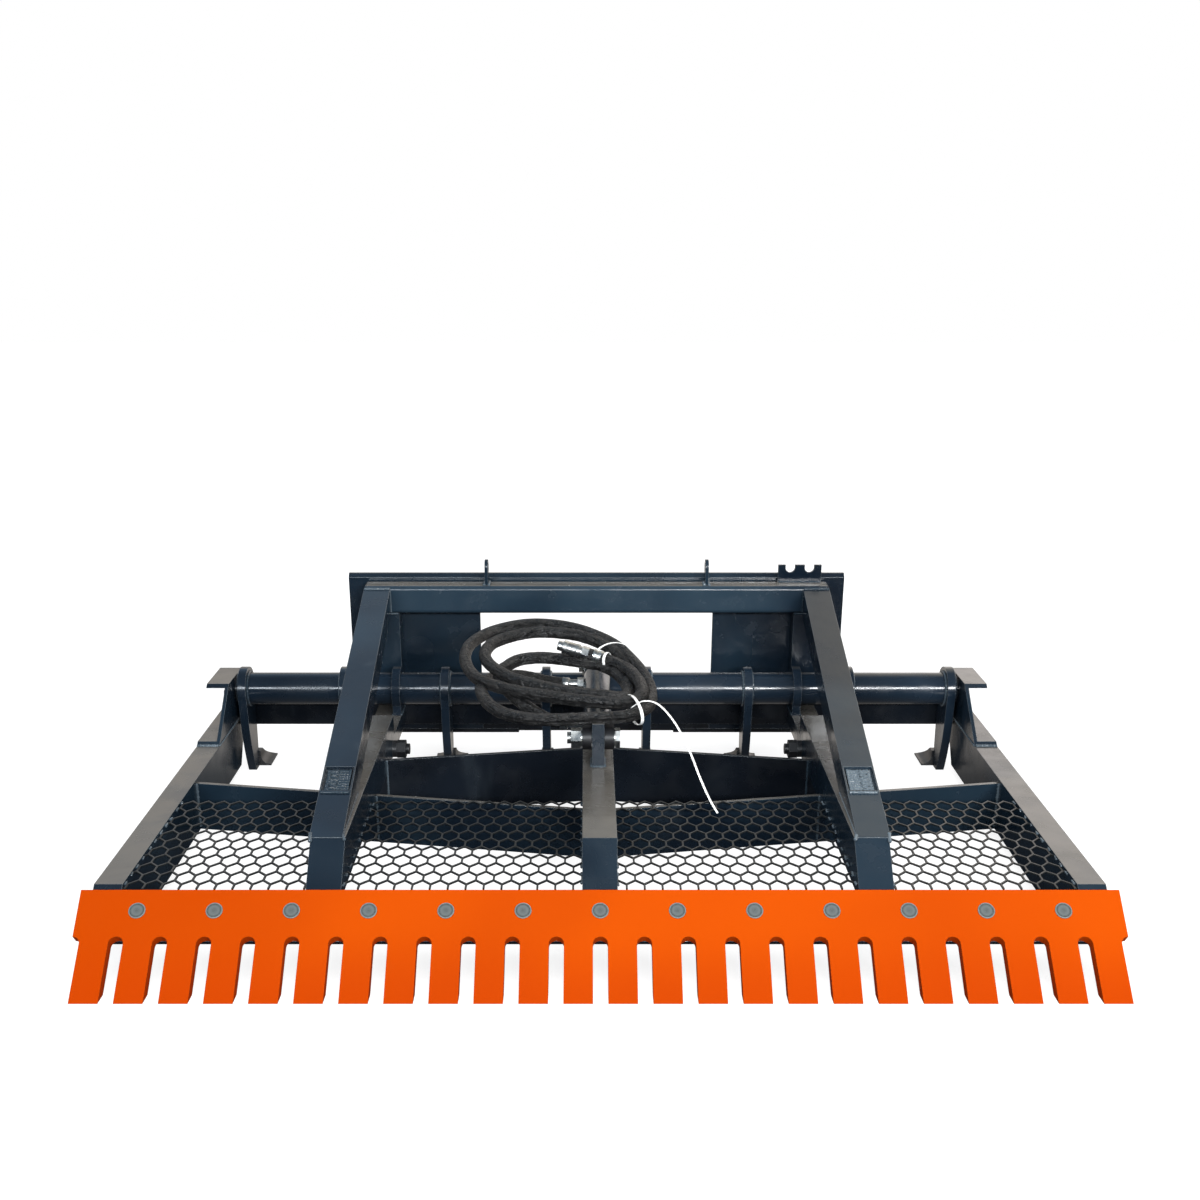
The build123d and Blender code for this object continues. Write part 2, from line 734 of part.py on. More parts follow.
def make_pipe_brackets():
    """Ring plates on the long beams' tails, welded to the posts; the pipe turns in them."""
    with BuildPart() as brackets:
        for side in SIDES.values():
            with BuildSketch(Plane.YZ.offset(side * PIPE_BRACKET_IN)):
                with Locations((PIPE_Y, PIPE_Z)):
                    Circle(PIPE_BRACKET_R)
                with Locations((PIPE_Y, BEAM_TAIL_TOP)):
                    Rectangle(
                        2 * PIPE_BRACKET_FOOT_HALF,
                        PIPE_Z - BEAM_TAIL_TOP,
                        align=(Align.CENTER, Align.MIN),
                    )
                with Locations((REAR_BEAM_FRONT, PIPE_Z)):
                    Rectangle(
                        PIPE_BRACKET_R,
                        4 * PIPE_BRACKET_R,
                        align=(Align.MIN, Align.CENTER),
                        mode=Mode.SUBTRACT,
                    )
                with Locations((PIPE_Y, PIPE_Z)):
                    Circle(PIPE_R + RUNNING_GAP, mode=Mode.SUBTRACT)
            extrude(amount=side * PIPE_BRACKET_T)
    finish(brackets, "pipe_brackets")


# ---- hitch --------------------------------------------------------------
def make_hitch():
    flange_top = HITCH_BOTTOM + FLANGE_T
    for name, side in SIDES.items():
        with BuildPart() as plate:
            with BuildSketch(Plane.XZ.offset(-HITCH_FRONT)):
                with BuildLine():
                    Polyline(
                        (side * HITCH_INNER, flange_top),
                        (side * HITCH_HALF, flange_top),
                        (side * HITCH_HALF, HITCH_TOP),
                        (side * HITCH_INNER, HITCH_TOP),
                        close=True,
                    )
                make_face()
            extrude(amount=-HITCH_T)
        finish(plate, f"hitch_plate_{name}")

    with BuildPart() as flanges:
        for side in SIDES.values():
            with Locations((side * (FLANGE_INNER + HITCH_HALF) / 2, HITCH_FRONT, HITCH_BOTTOM)):
                Box(
                    HITCH_HALF - FLANGE_INNER,
                    HALF_DEPTH - HITCH_FRONT,
                    FLANGE_T,
                    align=(Align.CENTER, Align.MIN, Align.MIN),
                )
            with Locations((side * PIN_SLOT_X, PIN_SLOT_Y, HITCH_BOTTOM)):
                Box(
                    PIN_SLOT_WIDTH,
                    PIN_SLOT_DEPTH,
                    FLANGE_T,
                    align=(Align.CENTER, Align.CENTER, Align.MIN),
                    mode=Mode.SUBTRACT,
                )
        fillet(flanges.edges().filter_by(Axis.Z).group_by(Axis.Y)[-1], radius=FLANGE_CORNER_R)
    finish(flanges, "hitch_flanges")

    with BuildPart() as strip:
        with BuildSketch(Plane.XZ.offset(-HITCH_FRONT)):
            with Locations((0, flange_top)):
                Rectangle(2 * HITCH_INNER, STRIP_TOP - flange_top, align=(Align.CENTER, Align.MIN))
            with Locations((0, STRIP_BOTTOM)):
                Rectangle(2 * FLANGE_INNER, STRIP_TOP - STRIP_BOTTOM, align=(Align.CENTER, Align.MIN))
        extrude(amount=-HITCH_T)
    finish(strip, "hitch_bottom_strip")

    with BuildPart() as angle:
        with Locations((0, HITCH_FRONT, CROSS_BOTTOM)):
            Box(
                2 * HITCH_INNER,
                HITCH_T,
                HITCH_TOP - CROSS_BOTTOM,
                align=(Align.CENTER, Align.MIN, Align.MIN),
            )
        with BuildSketch(Plane.YZ.offset(-HITCH_HALF)):
            Polygon(
                (HITCH_FRONT, HITCH_TOP),
                (HITCH_FRONT + HITCH_T, HITCH_TOP),
                (HITCH_FRONT + HITCH_T + LIP_RISE, HITCH_TOP + LIP_RISE),
                (HITCH_FRONT + LIP_RISE, HITCH_TOP + LIP_RISE),
                align=None,
            )
        extrude(amount=2 * HITCH_HALF)
    finish(angle, "hitch_top_angle")


def make_crossbeam_fittings():
    lug_y = (CROSS_FRONT + HITCH_FRONT) / 2
    with BuildPart() as lugs:
        for side in SIDES.values():
            with BuildSketch(Plane.YZ.offset(side * LUG_X - LUG_T / 2)):
                with Locations((lug_y, CROSS_TOP)):
                    Rectangle(2 * LUG_HALF, LUG_HOLE_UP, align=(Align.CENTER, Align.MIN))
                with Locations((lug_y, CROSS_TOP + LUG_HOLE_UP)):
                    Circle(LUG_HALF)
                    Circle(LUG_HOLE_R, mode=Mode.SUBTRACT)
            extrude(amount=LUG_T)
    finish(lugs, "lifting_lugs")

    with BuildPart() as comb:
        with BuildSketch(Plane.XZ.offset(-COMB_REAR)):
            with Locations((COMB_X, CROSS_TOP)):
                Rectangle(COMB_WIDTH, COMB_HEIGHT, align=(Align.CENTER, Align.MIN))
            with Locations((COMB_X, CROSS_TOP + COMB_HEIGHT - NOTCH_DEPTH + NOTCH_R)):
                with GridLocations(NOTCH_PITCH, 1, 2, 1):
                    Circle(NOTCH_R, mode=Mode.SUBTRACT)
                    Rectangle(
                        2 * NOTCH_R, NOTCH_DEPTH, align=(Align.CENTER, Align.MIN), mode=Mode.SUBTRACT
                    )
        extrude(amount=COMB_T)
    finish(comb, "hose_comb")


# ---- bearings and joint bolts -------------------------------------------
def make_bearings():
    bolt_places = (
        (PIPE_Y - BEARING_BOLT_OFFSET, PIPE_Z),
        (PIPE_Y + BEARING_BOLT_OFFSET, PIPE_Z),
    )
    with BuildPart() as housings:
        for side in SIDES.values():
            with BuildSketch(Plane.YZ.offset(side * (RAIL_IN + CHANNEL_WALL))):
                with Locations((PIPE_Y, PIPE_Z)):
                    RectangleRounded(
                        2 * BEARING_FLANGE_HALF, BEARING_FLANGE_HEIGHT, BEARING_FLANGE_HEIGHT / 4
                    )
                with Locations(*bolt_places):
                    Circle(BEARING_BOLT_R, mode=Mode.SUBTRACT)
            extrude(amount=side * BEARING_FLANGE_T)
            with BuildSketch(Plane.YZ.offset(side * RAIL_IN)):
                with Locations((PIPE_Y, PIPE_Z)):
                    Circle(BEARING_SPIGOT_R)
            extrude(amount=side * (BEARING_BOSS_END - RAIL_IN))
            with BuildSketch(Plane.YZ.offset(side * RAIL_IN)):
                with Locations((PIPE_Y, PIPE_Z)):
                    Circle(STUB_R + RUNNING_GAP)
            extrude(amount=side * (BEARING_BOSS_END - RAIL_IN), mode=Mode.SUBTRACT)
    finish(housings, "outer_bearings")

    with BuildPart() as bolts:
        for side in SIDES.values():
            head_plane = side * (RAIL_IN + CHANNEL_WALL + BEARING_FLANGE_T)
            with BuildSketch(Plane.YZ.offset(head_plane)):
                with Locations(*bolt_places):
                    RegularPolygon(BEARING_BOLT_HEAD_AF / 2, 6, major_radius=False)
            extrude(amount=side * BEARING_BOLT_HEAD_T)
            with BuildSketch(Plane.YZ.offset(head_plane)):
                with Locations(*bolt_places):
                    Circle(BEARING_BOLT_R)
            extrude(amount=-side * BEARING_FLANGE_T)
    finish(bolts, "outer_bearing_bolts")


def make_joint_bolts():
    """Large bolts through the tails of the long beams, nuts inwards."""
    joint_place = (JOINT_BOLT_Y, JOINT_BOLT_Z)
    nut_plane = BEAM_IN - JOINT_WASHER_T
    head_plane = BEAM_OUT + JOINT_WASHER_T
    with BuildPart() as bolts:
        for side in SIDES.values():
            with BuildSketch(Plane.YZ.offset(side * head_plane)):
                with Locations(joint_place):
                    RegularPolygon(M24_AF / 2, 6, major_radius=False)
            extrude(amount=side * M24_HEAD_T)
            with BuildSketch(Plane.YZ.offset(side * head_plane)):
                with Locations(joint_place):
                    Circle(M24_R)
            extrude(amount=-side * (head_plane - nut_plane + M24_NUT_T + M24_END))
    finish(bolts, "frame_joint_bolts")

    with BuildPart() as washers:
        for start, amount in ((BEAM_IN, -JOINT_WASHER_T), (BEAM_OUT, JOINT_WASHER_T)):
            for side in SIDES.values():
                with BuildSketch(Plane.YZ.offset(side * start)):
                    with Locations(joint_place):
                        Circle(M24_WASHER_R)
                        Circle(M24_HOLE_R, mode=Mode.SUBTRACT)
                extrude(amount=side * amount)
    finish(washers, "frame_joint_washers")

    with BuildPart() as nuts:
        for side in SIDES.values():
            with BuildSketch(Plane.YZ.offset(side * nut_plane)):
                with Locations(joint_place):
                    RegularPolygon(M24_AF / 2, 6, major_radius=False)
                    Circle(M24_R + THREAD_GAP, mode=Mode.SUBTRACT)
            extrude(amount=-side * M24_NUT_T)
    finish(nuts, "frame_joint_nuts")


# ---- ripper -------------------------------------------------------------
def make_rotor():
    with BuildPart() as pipe:
        with BuildSketch(Plane.YZ.offset(-PIPE_HALF)):
            with Locations((PIPE_Y, PIPE_Z)):
                Circle(PIPE_R)
                Circle(PIPE_R - PIPE_WALL, mode=Mode.SUBTRACT)
        extrude(amount=2 * PIPE_HALF)
    finish(pipe, "rotor_pipe")

    with BuildPart() as stubs:
        for side in SIDES.values():
            with BuildSketch(Plane.YZ.offset(side * (PIPE_HALF - STUB_PLUG))):
                with Locations((PIPE_Y, PIPE_Z)):
                    Circle(PIPE_R - PIPE_WALL)
            extrude(amount=side * STUB_PLUG)
            with BuildSketch(Plane.YZ.offset(side * PIPE_HALF)):
                with Locations((PIPE_Y, PIPE_Z)):
                    Circle(STUB_R)
            extrude(amount=side * (STUB_END - PIPE_HALF))
    finish(stubs, "stub_shafts")

    with BuildPart() as collars:
        for side in SIDES.values():
            with BuildSketch(Plane.YZ.offset(side * COLLAR_START)):
                with Locations((PIPE_Y, PIPE_Z)):
                    Circle(COLLAR_R)
                    Circle(STUB_R, mode=Mode.SUBTRACT)
            extrude(amount=side * (STUB_END - COLLAR_START))
    finish(collars, "stub_collars")


def make_shanks():
    """Plate shanks: a ring on the pipe, then a hook that sweeps back to its foot."""
    foot = -PIPE_Z
    with BuildPart() as shanks:
        for index in range(SHANKS):
            start_x = -SHANK_OUTER_X + index * SHANK_PITCH - SHANK_T / 2
            # sketched about the pipe's axis
            axis_plane = Plane(origin=(start_x, PIPE_Y, PIPE_Z), x_dir=(0, 1, 0), z_dir=(1, 0, 0))
            with BuildSketch(axis_plane):
                Circle(SHANK_RING_R)
                with BuildLine():
                    Line((-50, -14), (-44, -79))
                    ThreePointArc((-44, -79), (-29, -147), (-5, foot))
                    Line((-5, foot), (24, foot))
                    ThreePointArc((24, foot), (32, -150), (36, -90))
                    Line((36, -90), (38, -35))
                    Line((38, -35), (-50, -14))
                make_face()
                Circle(PIPE_R, mode=Mode.SUBTRACT)
            extrude(amount=SHANK_T)
    finish(shanks, "ripper_shanks")


def make_points():
    """Flared points, welded behind the foot of each shank."""
    rear_plane = Plane.XZ.offset(-PIPE_Y - POINT_TIP)
    with BuildPart() as points:
        for index in range(SHANKS):
            x = -SHANK_OUTER_X + index * SHANK_PITCH
            left = max(x - POINT_HALF, -POINT_CLEAR_X)
            right = min(x + POINT_HALF, POINT_CLEAR_X)
            # seen from behind: waisted, flaring out to the ground
            with BuildSketch(rear_plane):
                with BuildLine():
                    Line((left, 0), (right, 0))
                    Line((right, 0), (right, 4))
                    ThreePointArc((right, 4), (x + 19, 11), (x + POINT_NECK_HALF, 24))
                    Line((x + POINT_NECK_HALF, 24), (x + POINT_NECK_HALF, POINT_HEIGHT))
                    Line((x + POINT_NECK_HALF, POINT_HEIGHT), (x - POINT_NECK_HALF, POINT_HEIGHT))
                    Line((x - POINT_NECK_HALF, POINT_HEIGHT), (x - POINT_NECK_HALF, 24))
                    ThreePointArc((x - POINT_NECK_HALF, 24), (x - 19, 11), (left, 4))
                    Line((left, 4), (left, 0))
                make_face()
            extrude(amount=POINT_TIP)
        # seen from the side: thick at the shank, thin at the tip
        with BuildSketch(Plane(origin=(-RAIL_IN, PIPE_Y, 0), x_dir=(0, 1, 0), z_dir=(1, 0, 0))):
            with BuildLine():
                Line((POINT_START, 0), (POINT_TIP, 0))
                Line((POINT_TIP, 0), (POINT_TIP - 2, 5))
                ThreePointArc((POINT_TIP - 2, 5), (76, 22), (54, POINT_HEIGHT))
                Line((54, POINT_HEIGHT), (31.5, POINT_HEIGHT))
                Line((31.5, POINT_HEIGHT), (POINT_START, 0))
            make_face()
        extrude(amount=2 * RAIL_IN, mode=Mode.INTERSECT)
    finish(points, "ripper_points")


def make_levers():
    """Twin lever plates on the pipe; their eyes leave room around the rod pin."""
    centre = Vector(PIPE_Y, PIPE_Z)
    eye = Vector(LEVER_EYE_Y, LEVER_EYE_Z)
    across = Vector(cos(radians(LEVER_TILT)), -sin(radians(LEVER_TILT)))
    root_half = LEVER_RING_R - 2
    with BuildPart() as levers:
        for side in SIDES.values():
            with BuildSketch(Plane.YZ.offset(side * LEVER_IN)):
                with Locations(centre):
                    Circle(LEVER_RING_R)
                with Locations(eye):
                    Circle(LEVER_EYE_R)
                with BuildLine():
                    Polyline(
                        centre + across * root_half,
                        eye + across * LEVER_EYE_R,
                        eye - across * LEVER_EYE_R,
                        centre - across * root_half,
                        close=True,
                    )
                make_face()
                with Locations(centre):
                    Circle(PIPE_R, mode=Mode.SUBTRACT)
                with Locations(eye):
                    Circle(PIN_R + OPEN_PIVOT_GAP, mode=Mode.SUBTRACT)
            extrude(amount=side * LEVER_T)
    finish(levers, "lever_plates")


# ---- hydraulic cylinder -------------------------------------------------
def cylinder_side(x_plane):
    """Plane square to X whose local x runs along the cylinder from the base pivot."""
    return Plane(origin=(x_plane, BASE_Y, BASE_Z), x_dir=(0, CYL_COS, CYL_SIN), z_dir=(1, 0, 0))


def along_cylinder(*stations):
    """Places on the cylinder's axis, measured from its base pivot."""
    return Locations(*[CYLINDER_AXIS.location * Pos(0, 0, station) for station in stations])


def make_base_pivot():
    base_place = (BASE_Y, BASE_Z)
    clevis_out = EAR_IN + EAR_T
    washer_out = clevis_out + M24_WASHER_T
    with BuildPart() as lug:
        with BuildSketch(Plane.YZ.offset(-BASE_LUG_HALF)):
            with Locations((BASE_LUG_FRONT, BEAM_TOP)):
                Rectangle(
                    BASE_LUG_REAR - BASE_LUG_FRONT,
                    BASE_LUG_TOP - BEAM_TOP,
                    align=(Align.MIN, Align.MIN),
                )
            with Locations(base_place):
                Circle(M24_R + THREAD_GAP, mode=Mode.SUBTRACT)
        extrude(amount=2 * BASE_LUG_HALF)
    finish(lug, "cylinder_lug")

    with BuildPart() as bolt:
        with BuildSketch(Plane.YZ.offset(washer_out)):
            with Locations(base_place):
                RegularPolygon(M24_AF / 2, 6, major_radius=False)
        extrude(amount=BASE_HEAD_T)
        with BuildSketch(Plane.YZ.offset(washer_out)):
            with Locations(base_place):
                Circle(M24_R)
        extrude(amount=-2 * washer_out - M24_NUT_T - M24_END)
    finish(bolt, "base_pivot_bolt")

    with BuildPart() as washers:
        for side in SIDES.values():
            with BuildSketch(Plane.YZ.offset(side * clevis_out)):
                with Locations(base_place):
                    Circle(M24_WASHER_R)
                    Circle(M24_HOLE_R, mode=Mode.SUBTRACT)
            extrude(amount=side * M24_WASHER_T)
    finish(washers, "base_pivot_washers")

    with BuildPart() as nut:
        with BuildSketch(Plane.YZ.offset(-washer_out)):
            with Locations(base_place):
                RegularPolygon(M24_AF / 2, 6, major_radius=False)
                Circle(M24_R + THREAD_GAP, mode=Mode.SUBTRACT)
        extrude(amount=-M24_NUT_T)
    finish(nut, "base_pivot_nut")


def make_cylinder():
    forward = (Align.CENTER, Align.CENTER, Align.MIN)
    with BuildPart() as clevis:
        for side in SIDES.values():
            with BuildSketch(cylinder_side(side * EAR_IN)):
                Circle(BASE_EYE_R)
                Rectangle(CLEVIS_END, 2 * BASE_EYE_R, align=(Align.MIN, Align.CENTER))
                Circle(M24_R + RUNNING_GAP, mode=Mode.SUBTRACT)
            extrude(amount=side * EAR_T)
        with along_cylinder(CLEVIS_END):
            Cylinder(CAP_R, CAP_END - CLEVIS_END, align=forward)
    finish(clevis, "cylinder_clevis")

    with BuildPart() as barrel:
        with along_cylinder(CAP_END):
            Cylinder(BARREL_R, BARREL_END - CAP_END, align=forward)
            Cylinder(BORE_R, BARREL_END - CAP_END, align=forward, mode=Mode.SUBTRACT)
        for station in PORT_STATIONS:
            with BuildSketch(cylinder_side(-BORE_R - 1)):
                with Locations((station, 0)):
                    Circle(PORT_R)
            extrude(amount=-2 * BARREL_R, mode=Mode.SUBTRACT)
    finish(barrel, "cylinder_barrel")

    with BuildPart() as gland:
        with along_cylinder(BARREL_END):
            Cylinder(BARREL_R, GLAND_END - BARREL_END, align=forward)
        with along_cylinder(BARREL_END - GLAND_INSET):
            Cylinder(BORE_R, GLAND_INSET, align=forward)
            Cylinder(ROD_R + RUNNING_GAP, GLAND_END, align=forward, mode=Mode.SUBTRACT)
        chamfer(gland.edges().filter_by(GeomType.CIRCLE).sort_by(Axis.Y)[-2:], length=1.5)
    finish(gland, "cylinder_gland")

    with BuildPart() as ports:
        for station in PORT_STATIONS:
            with BuildSketch(cylinder_side(-BORE_R - 1)):
                with Locations((station, 0)):
                    Circle(PORT_R)
            extrude(amount=BORE_R + 1 - BARREL_R)
            with BuildSketch(cylinder_side(-BARREL_R)):
                with Locations((station, 0)):
                    RegularPolygon(PORT_HEX_AF / 2, 6, major_radius=False)
            extrude(amount=-PORT_HEX_T)
            with BuildSketch(cylinder_side(-BARREL_R - PORT_HEX_T)):
                with Locations((station, 0)):
                    Circle(PORT_NOSE_R)
            extrude(amount=-PORT_NOSE_LENGTH)
    finish(ports, "port_fittings")


def make_rod():
    forward = (Align.CENTER, Align.CENTER, Align.MIN)
    piston_r = BORE_R - RUNNING_GAP
    seal_end = SEAL_START + SEAL_WIDTH
    with BuildPart() as rod:
        with along_cylinder(PISTON_START):
            Cylinder(STUD_R, ROD_END - PISTON_START, align=forward)
        with along_cylinder(PISTON_END):
            Cylinder(ROD_R, NECK_START - PISTON_END, align=forward)
    finish(rod, "piston_rod")

    with BuildPart() as piston:
        with along_cylinder(PISTON_START):
            Cylinder(piston_r, SEAL_START - PISTON_START, align=forward)
            Cylinder(SEAL_IN_R, PISTON_END - PISTON_START, align=forward)
        with along_cylinder(seal_end):
            Cylinder(piston_r, PISTON_END - seal_end, align=forward)
        with along_cylinder(PISTON_START):
            Cylinder(STUD_R, PISTON_END - PISTON_START, align=forward, mode=Mode.SUBTRACT)
    finish(piston, "piston")

    with BuildPart() as seal:
        with along_cylinder(SEAL_START):
            Cylinder(piston_r, SEAL_WIDTH, align=forward)
            Cylinder(SEAL_IN_R, SEAL_WIDTH, align=forward, mode=Mode.SUBTRACT)
    finish(seal, "piston_seal")

    eye_half = LEVER_IN - 1
    with BuildPart() as eye:
        with BuildSketch(cylinder_side(-eye_half)):
            with Locations((PIN_TO_PIN, 0)):
                Circle(BASE_EYE_R)
        extrude(amount=2 * eye_half)
        with along_cylinder(NECK_START):
            Cylinder(NECK_R, PIN_TO_PIN - NECK_START - BASE_EYE_R / 2, align=forward)
            Cylinder(STUD_R, ROD_END - NECK_START, align=forward, mode=Mode.SUBTRACT)
        with BuildSketch(cylinder_side(-eye_half)):
            with Locations((PIN_TO_PIN, 0)):
                Circle(PIN_R)
        extrude(amount=2 * eye_half, mode=Mode.SUBTRACT)
        for side in SIDES.values():
            # the neck is flattened so that it swings between the lever plates
            with BuildSketch(cylinder_side(side * eye_half)):
                with Locations((PIN_TO_PIN, 0)):
                    Rectangle(PIN_TO_PIN, 4 * NECK_R)
            extrude(amount=side * NECK_R, mode=Mode.SUBTRACT)
    finish(eye, "rod_eye")

    washer_start = LEVER_IN + LEVER_T + PIN_WASHER_GAP
    washer_end = washer_start + PIN_WASHER_T
    with BuildPart() as pin:
        with BuildSketch(cylinder_side(-washer_end)):
            with Locations((PIN_TO_PIN, 0)):
                Circle(PIN_R)
        extrude(amount=2 * washer_end)
        for side in SIDES.values():
            with BuildSketch(cylinder_side(side * washer_end)):
                with Locations((PIN_TO_PIN, 0)):
                    Circle(PIN_HEAD_R)
            extrude(amount=side * PIN_HEAD_T)
    finish(pin, "rod_pin")

    with BuildPart() as washers:
        for side in SIDES.values():
            with BuildSketch(cylinder_side(side * washer_start)):
                with Locations((PIN_TO_PIN, 0)):
                    Circle(PIN_WASHER_R)
                    Circle(PIN_R, mode=Mode.SUBTRACT)
            extrude(amount=side * PIN_WASHER_T)
    finish(washers, "rod_pin_washers")


# ---- hoses --------------------------------------------------------------
def coil_height(y):
    return COIL_FRONT_Z + (y - COIL_FRONT_Y) * COIL_SLOPE


def make_hoses():
    """Two coiled hoses lying on the cylinder, and what is on them."""
    coil_plane = Plane(
        origin=(COIL_X, COIL_Y, coil_height(COIL_Y)),
        x_dir=(1, 0, 0),
        z_dir=(0, -COIL_SLOPE, 1),
    )
    for name, radius in (("pressure_hose", PRESSURE_COIL_R), ("return_hose", RETURN_COIL_R)):
        with BuildPart() as hose:
            with Locations(coil_plane):
                Torus(radius, HOSE_R)
        finish(hose, name)

    with BuildPart() as couplers:
        for x, y in COUPLER_PLACES:
            with Locations((x, y, coil_height(y) + COUPLER_RISE)):
                Cylinder(COUPLER_R, COUPLER_LENGTH, rotation=(0, 90, 0))
    finish(couplers, "hose_couplers")

    band_r = (PRESSURE_COIL_R + RETURN_COIL_R) / 2
    side_band_x = COIL_X + band_r
    rear_band_y = COIL_Y + band_r * cos(atan2(COIL_SLOPE, 1))
    band_inside = TIE_BAND_LENGTH - 2 * TIE_T
    with BuildPart() as ties:
        with Locations((side_band_x, COIL_Y, coil_height(COIL_Y))):
            Box(TIE_BAND_LENGTH, TIE_WIDTH, TIE_BAND_HEIGHT)
            Box(band_inside, TIE_WIDTH, TIE_BAND_HEIGHT - 2 * TIE_T, mode=Mode.SUBTRACT)
        with Locations((COIL_X, rear_band_y, coil_height(rear_band_y))):
            Box(TIE_WIDTH, TIE_BAND_LENGTH, TIE_BAND_HEIGHT)
            Box(TIE_WIDTH, band_inside, TIE_BAND_HEIGHT - 2 * TIE_T, mode=Mode.SUBTRACT)
        # the long free tail that hangs down to the mesh
        with BuildLine() as tail_path:
            Spline(*TIE_TAIL)
        with BuildSketch(tail_path.line ^ 0):
            Rectangle(TIE_WIDTH - 2, TIE_T)
        sweep(path=tail_path.line)
    finish(ties, "cable_ties")


def make_everything():
    make_blade()
    make_carrier()
    make_blade_fasteners()
    for name, side in SIDES.items():
        make_rail(name, side)
        make_bracket(name, side)
        make_long_beam(name, side)
        make_arm(name, side)
    long_beam_x = BEAM_IN + BEAM_HALF
    make_v_plate(
        "front_v_plate",
        RAIL_IN,
        FRONT_V_OUTER_Y,
        FRONT_V_CENTRE_Y,
        RAIL_BOTTOM,
        FRONT_V_TOP,
        (-long_beam_x, 0, long_beam_x),
    )
    make_v_plate(
        "rear_v_plate",
        REAR_V_HALF,
        REAR_V_OUTER_Y,
        REAR_V_CENTRE_Y,
        REAR_V_BOTTOM,
        REAR_V_TOP,
        (-long_beam_x, long_beam_x),
    )
    make_centre_beam()
    make_arm_feet()
    make_posts()
    make_pipe_brackets()
    make_mesh_panels("inner_mesh_panels", BEAM_HALF, BEAM_IN)
    make_mesh_panels("outer_mesh_panels", BEAM_OUT, RAIL_IN)
    make_cross_members()
    make_hitch()
    make_crossbeam_fittings()
    make_bearings()
    make_joint_bolts()
    make_rotor()
    make_shanks()
    make_points()
    make_levers()
    make_base_pivot()
    make_cylinder()
    make_rod()
    make_hoses()


make_everything()
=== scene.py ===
import json
import math
import random

import bpy
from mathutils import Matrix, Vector


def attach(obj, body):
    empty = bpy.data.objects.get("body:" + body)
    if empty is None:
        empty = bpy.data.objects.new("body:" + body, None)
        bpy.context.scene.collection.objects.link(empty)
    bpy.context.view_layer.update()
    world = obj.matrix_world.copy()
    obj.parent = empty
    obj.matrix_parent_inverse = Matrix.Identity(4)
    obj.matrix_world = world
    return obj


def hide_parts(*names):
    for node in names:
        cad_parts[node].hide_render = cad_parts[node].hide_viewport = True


# Toothed soil leveller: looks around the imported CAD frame. Metres, same frame as the CAD.

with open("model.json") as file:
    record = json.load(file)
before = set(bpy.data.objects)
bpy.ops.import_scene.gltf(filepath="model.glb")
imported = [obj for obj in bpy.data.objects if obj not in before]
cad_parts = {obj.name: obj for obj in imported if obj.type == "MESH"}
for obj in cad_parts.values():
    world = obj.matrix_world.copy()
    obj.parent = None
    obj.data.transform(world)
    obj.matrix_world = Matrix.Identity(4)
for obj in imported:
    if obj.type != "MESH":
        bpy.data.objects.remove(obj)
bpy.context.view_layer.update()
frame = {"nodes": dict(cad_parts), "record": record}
nodes = frame["nodes"]
rng = random.Random(41)

MM = 0.001
PIPE_CENTRE = Vector((0.0, 0.484, 0.204))
PIPE_R = 0.038
BEND_Y = -0.395
CROSS_FRONT = 0.520
BLADE_SLOPE = math.radians(40)
BLADE_BOLT_PITCH = 0.135
BLADE_BOLT_HEAD_R = 0.0149
BLADE_BOLT_FACE = Vector((0, -0.5182, 0.1106))
HOSE_R = 0.0132


# ---- node material helpers ----------------------------------------------
class Graph:
    """A small wrapper that makes nodes and links of a node tree in one line."""

    def __init__(self, tree):
        self.nodes = tree.nodes
        self.links = tree.links

    def set(self, node, inputs):
        for key, value in inputs.items():
            socket = node.inputs[key]
            if isinstance(value, bpy.types.NodeSocket):
                self.links.new(value, socket)
            else:
                socket.default_value = value
        return node

    def split(self, vector):
        """The X, Y and Z of a vector."""
        node = self.nodes.new("ShaderNodeSeparateXYZ")
        return self.set(node, {0: vector}).outputs

    def mix(self, factor, a, b):
        node = self.nodes.new("ShaderNodeMix")
        node.data_type = "RGBA"
        self.set(node, {0: factor, 6: a, 7: b})
        return node.outputs[2]

    def ramp(self, value, low, high, stops):
        """Colours along a value that runs from low to high; stops are (share, colour)."""
        spread = self.nodes.new("ShaderNodeMapRange")
        self.set(spread, {"Value": value, "From Min": low, "From Max": high})
        node = self.nodes.new("ShaderNodeValToRGB")
        self.set(node, {0: spread.outputs["Result"]})
        elements = node.color_ramp.elements
        while len(elements) < len(stops):
            elements.new(0.5)
        for element, (place, color) in zip(elements, stops):
            element.position = place
            element.color = color
        return node.outputs["Color"]


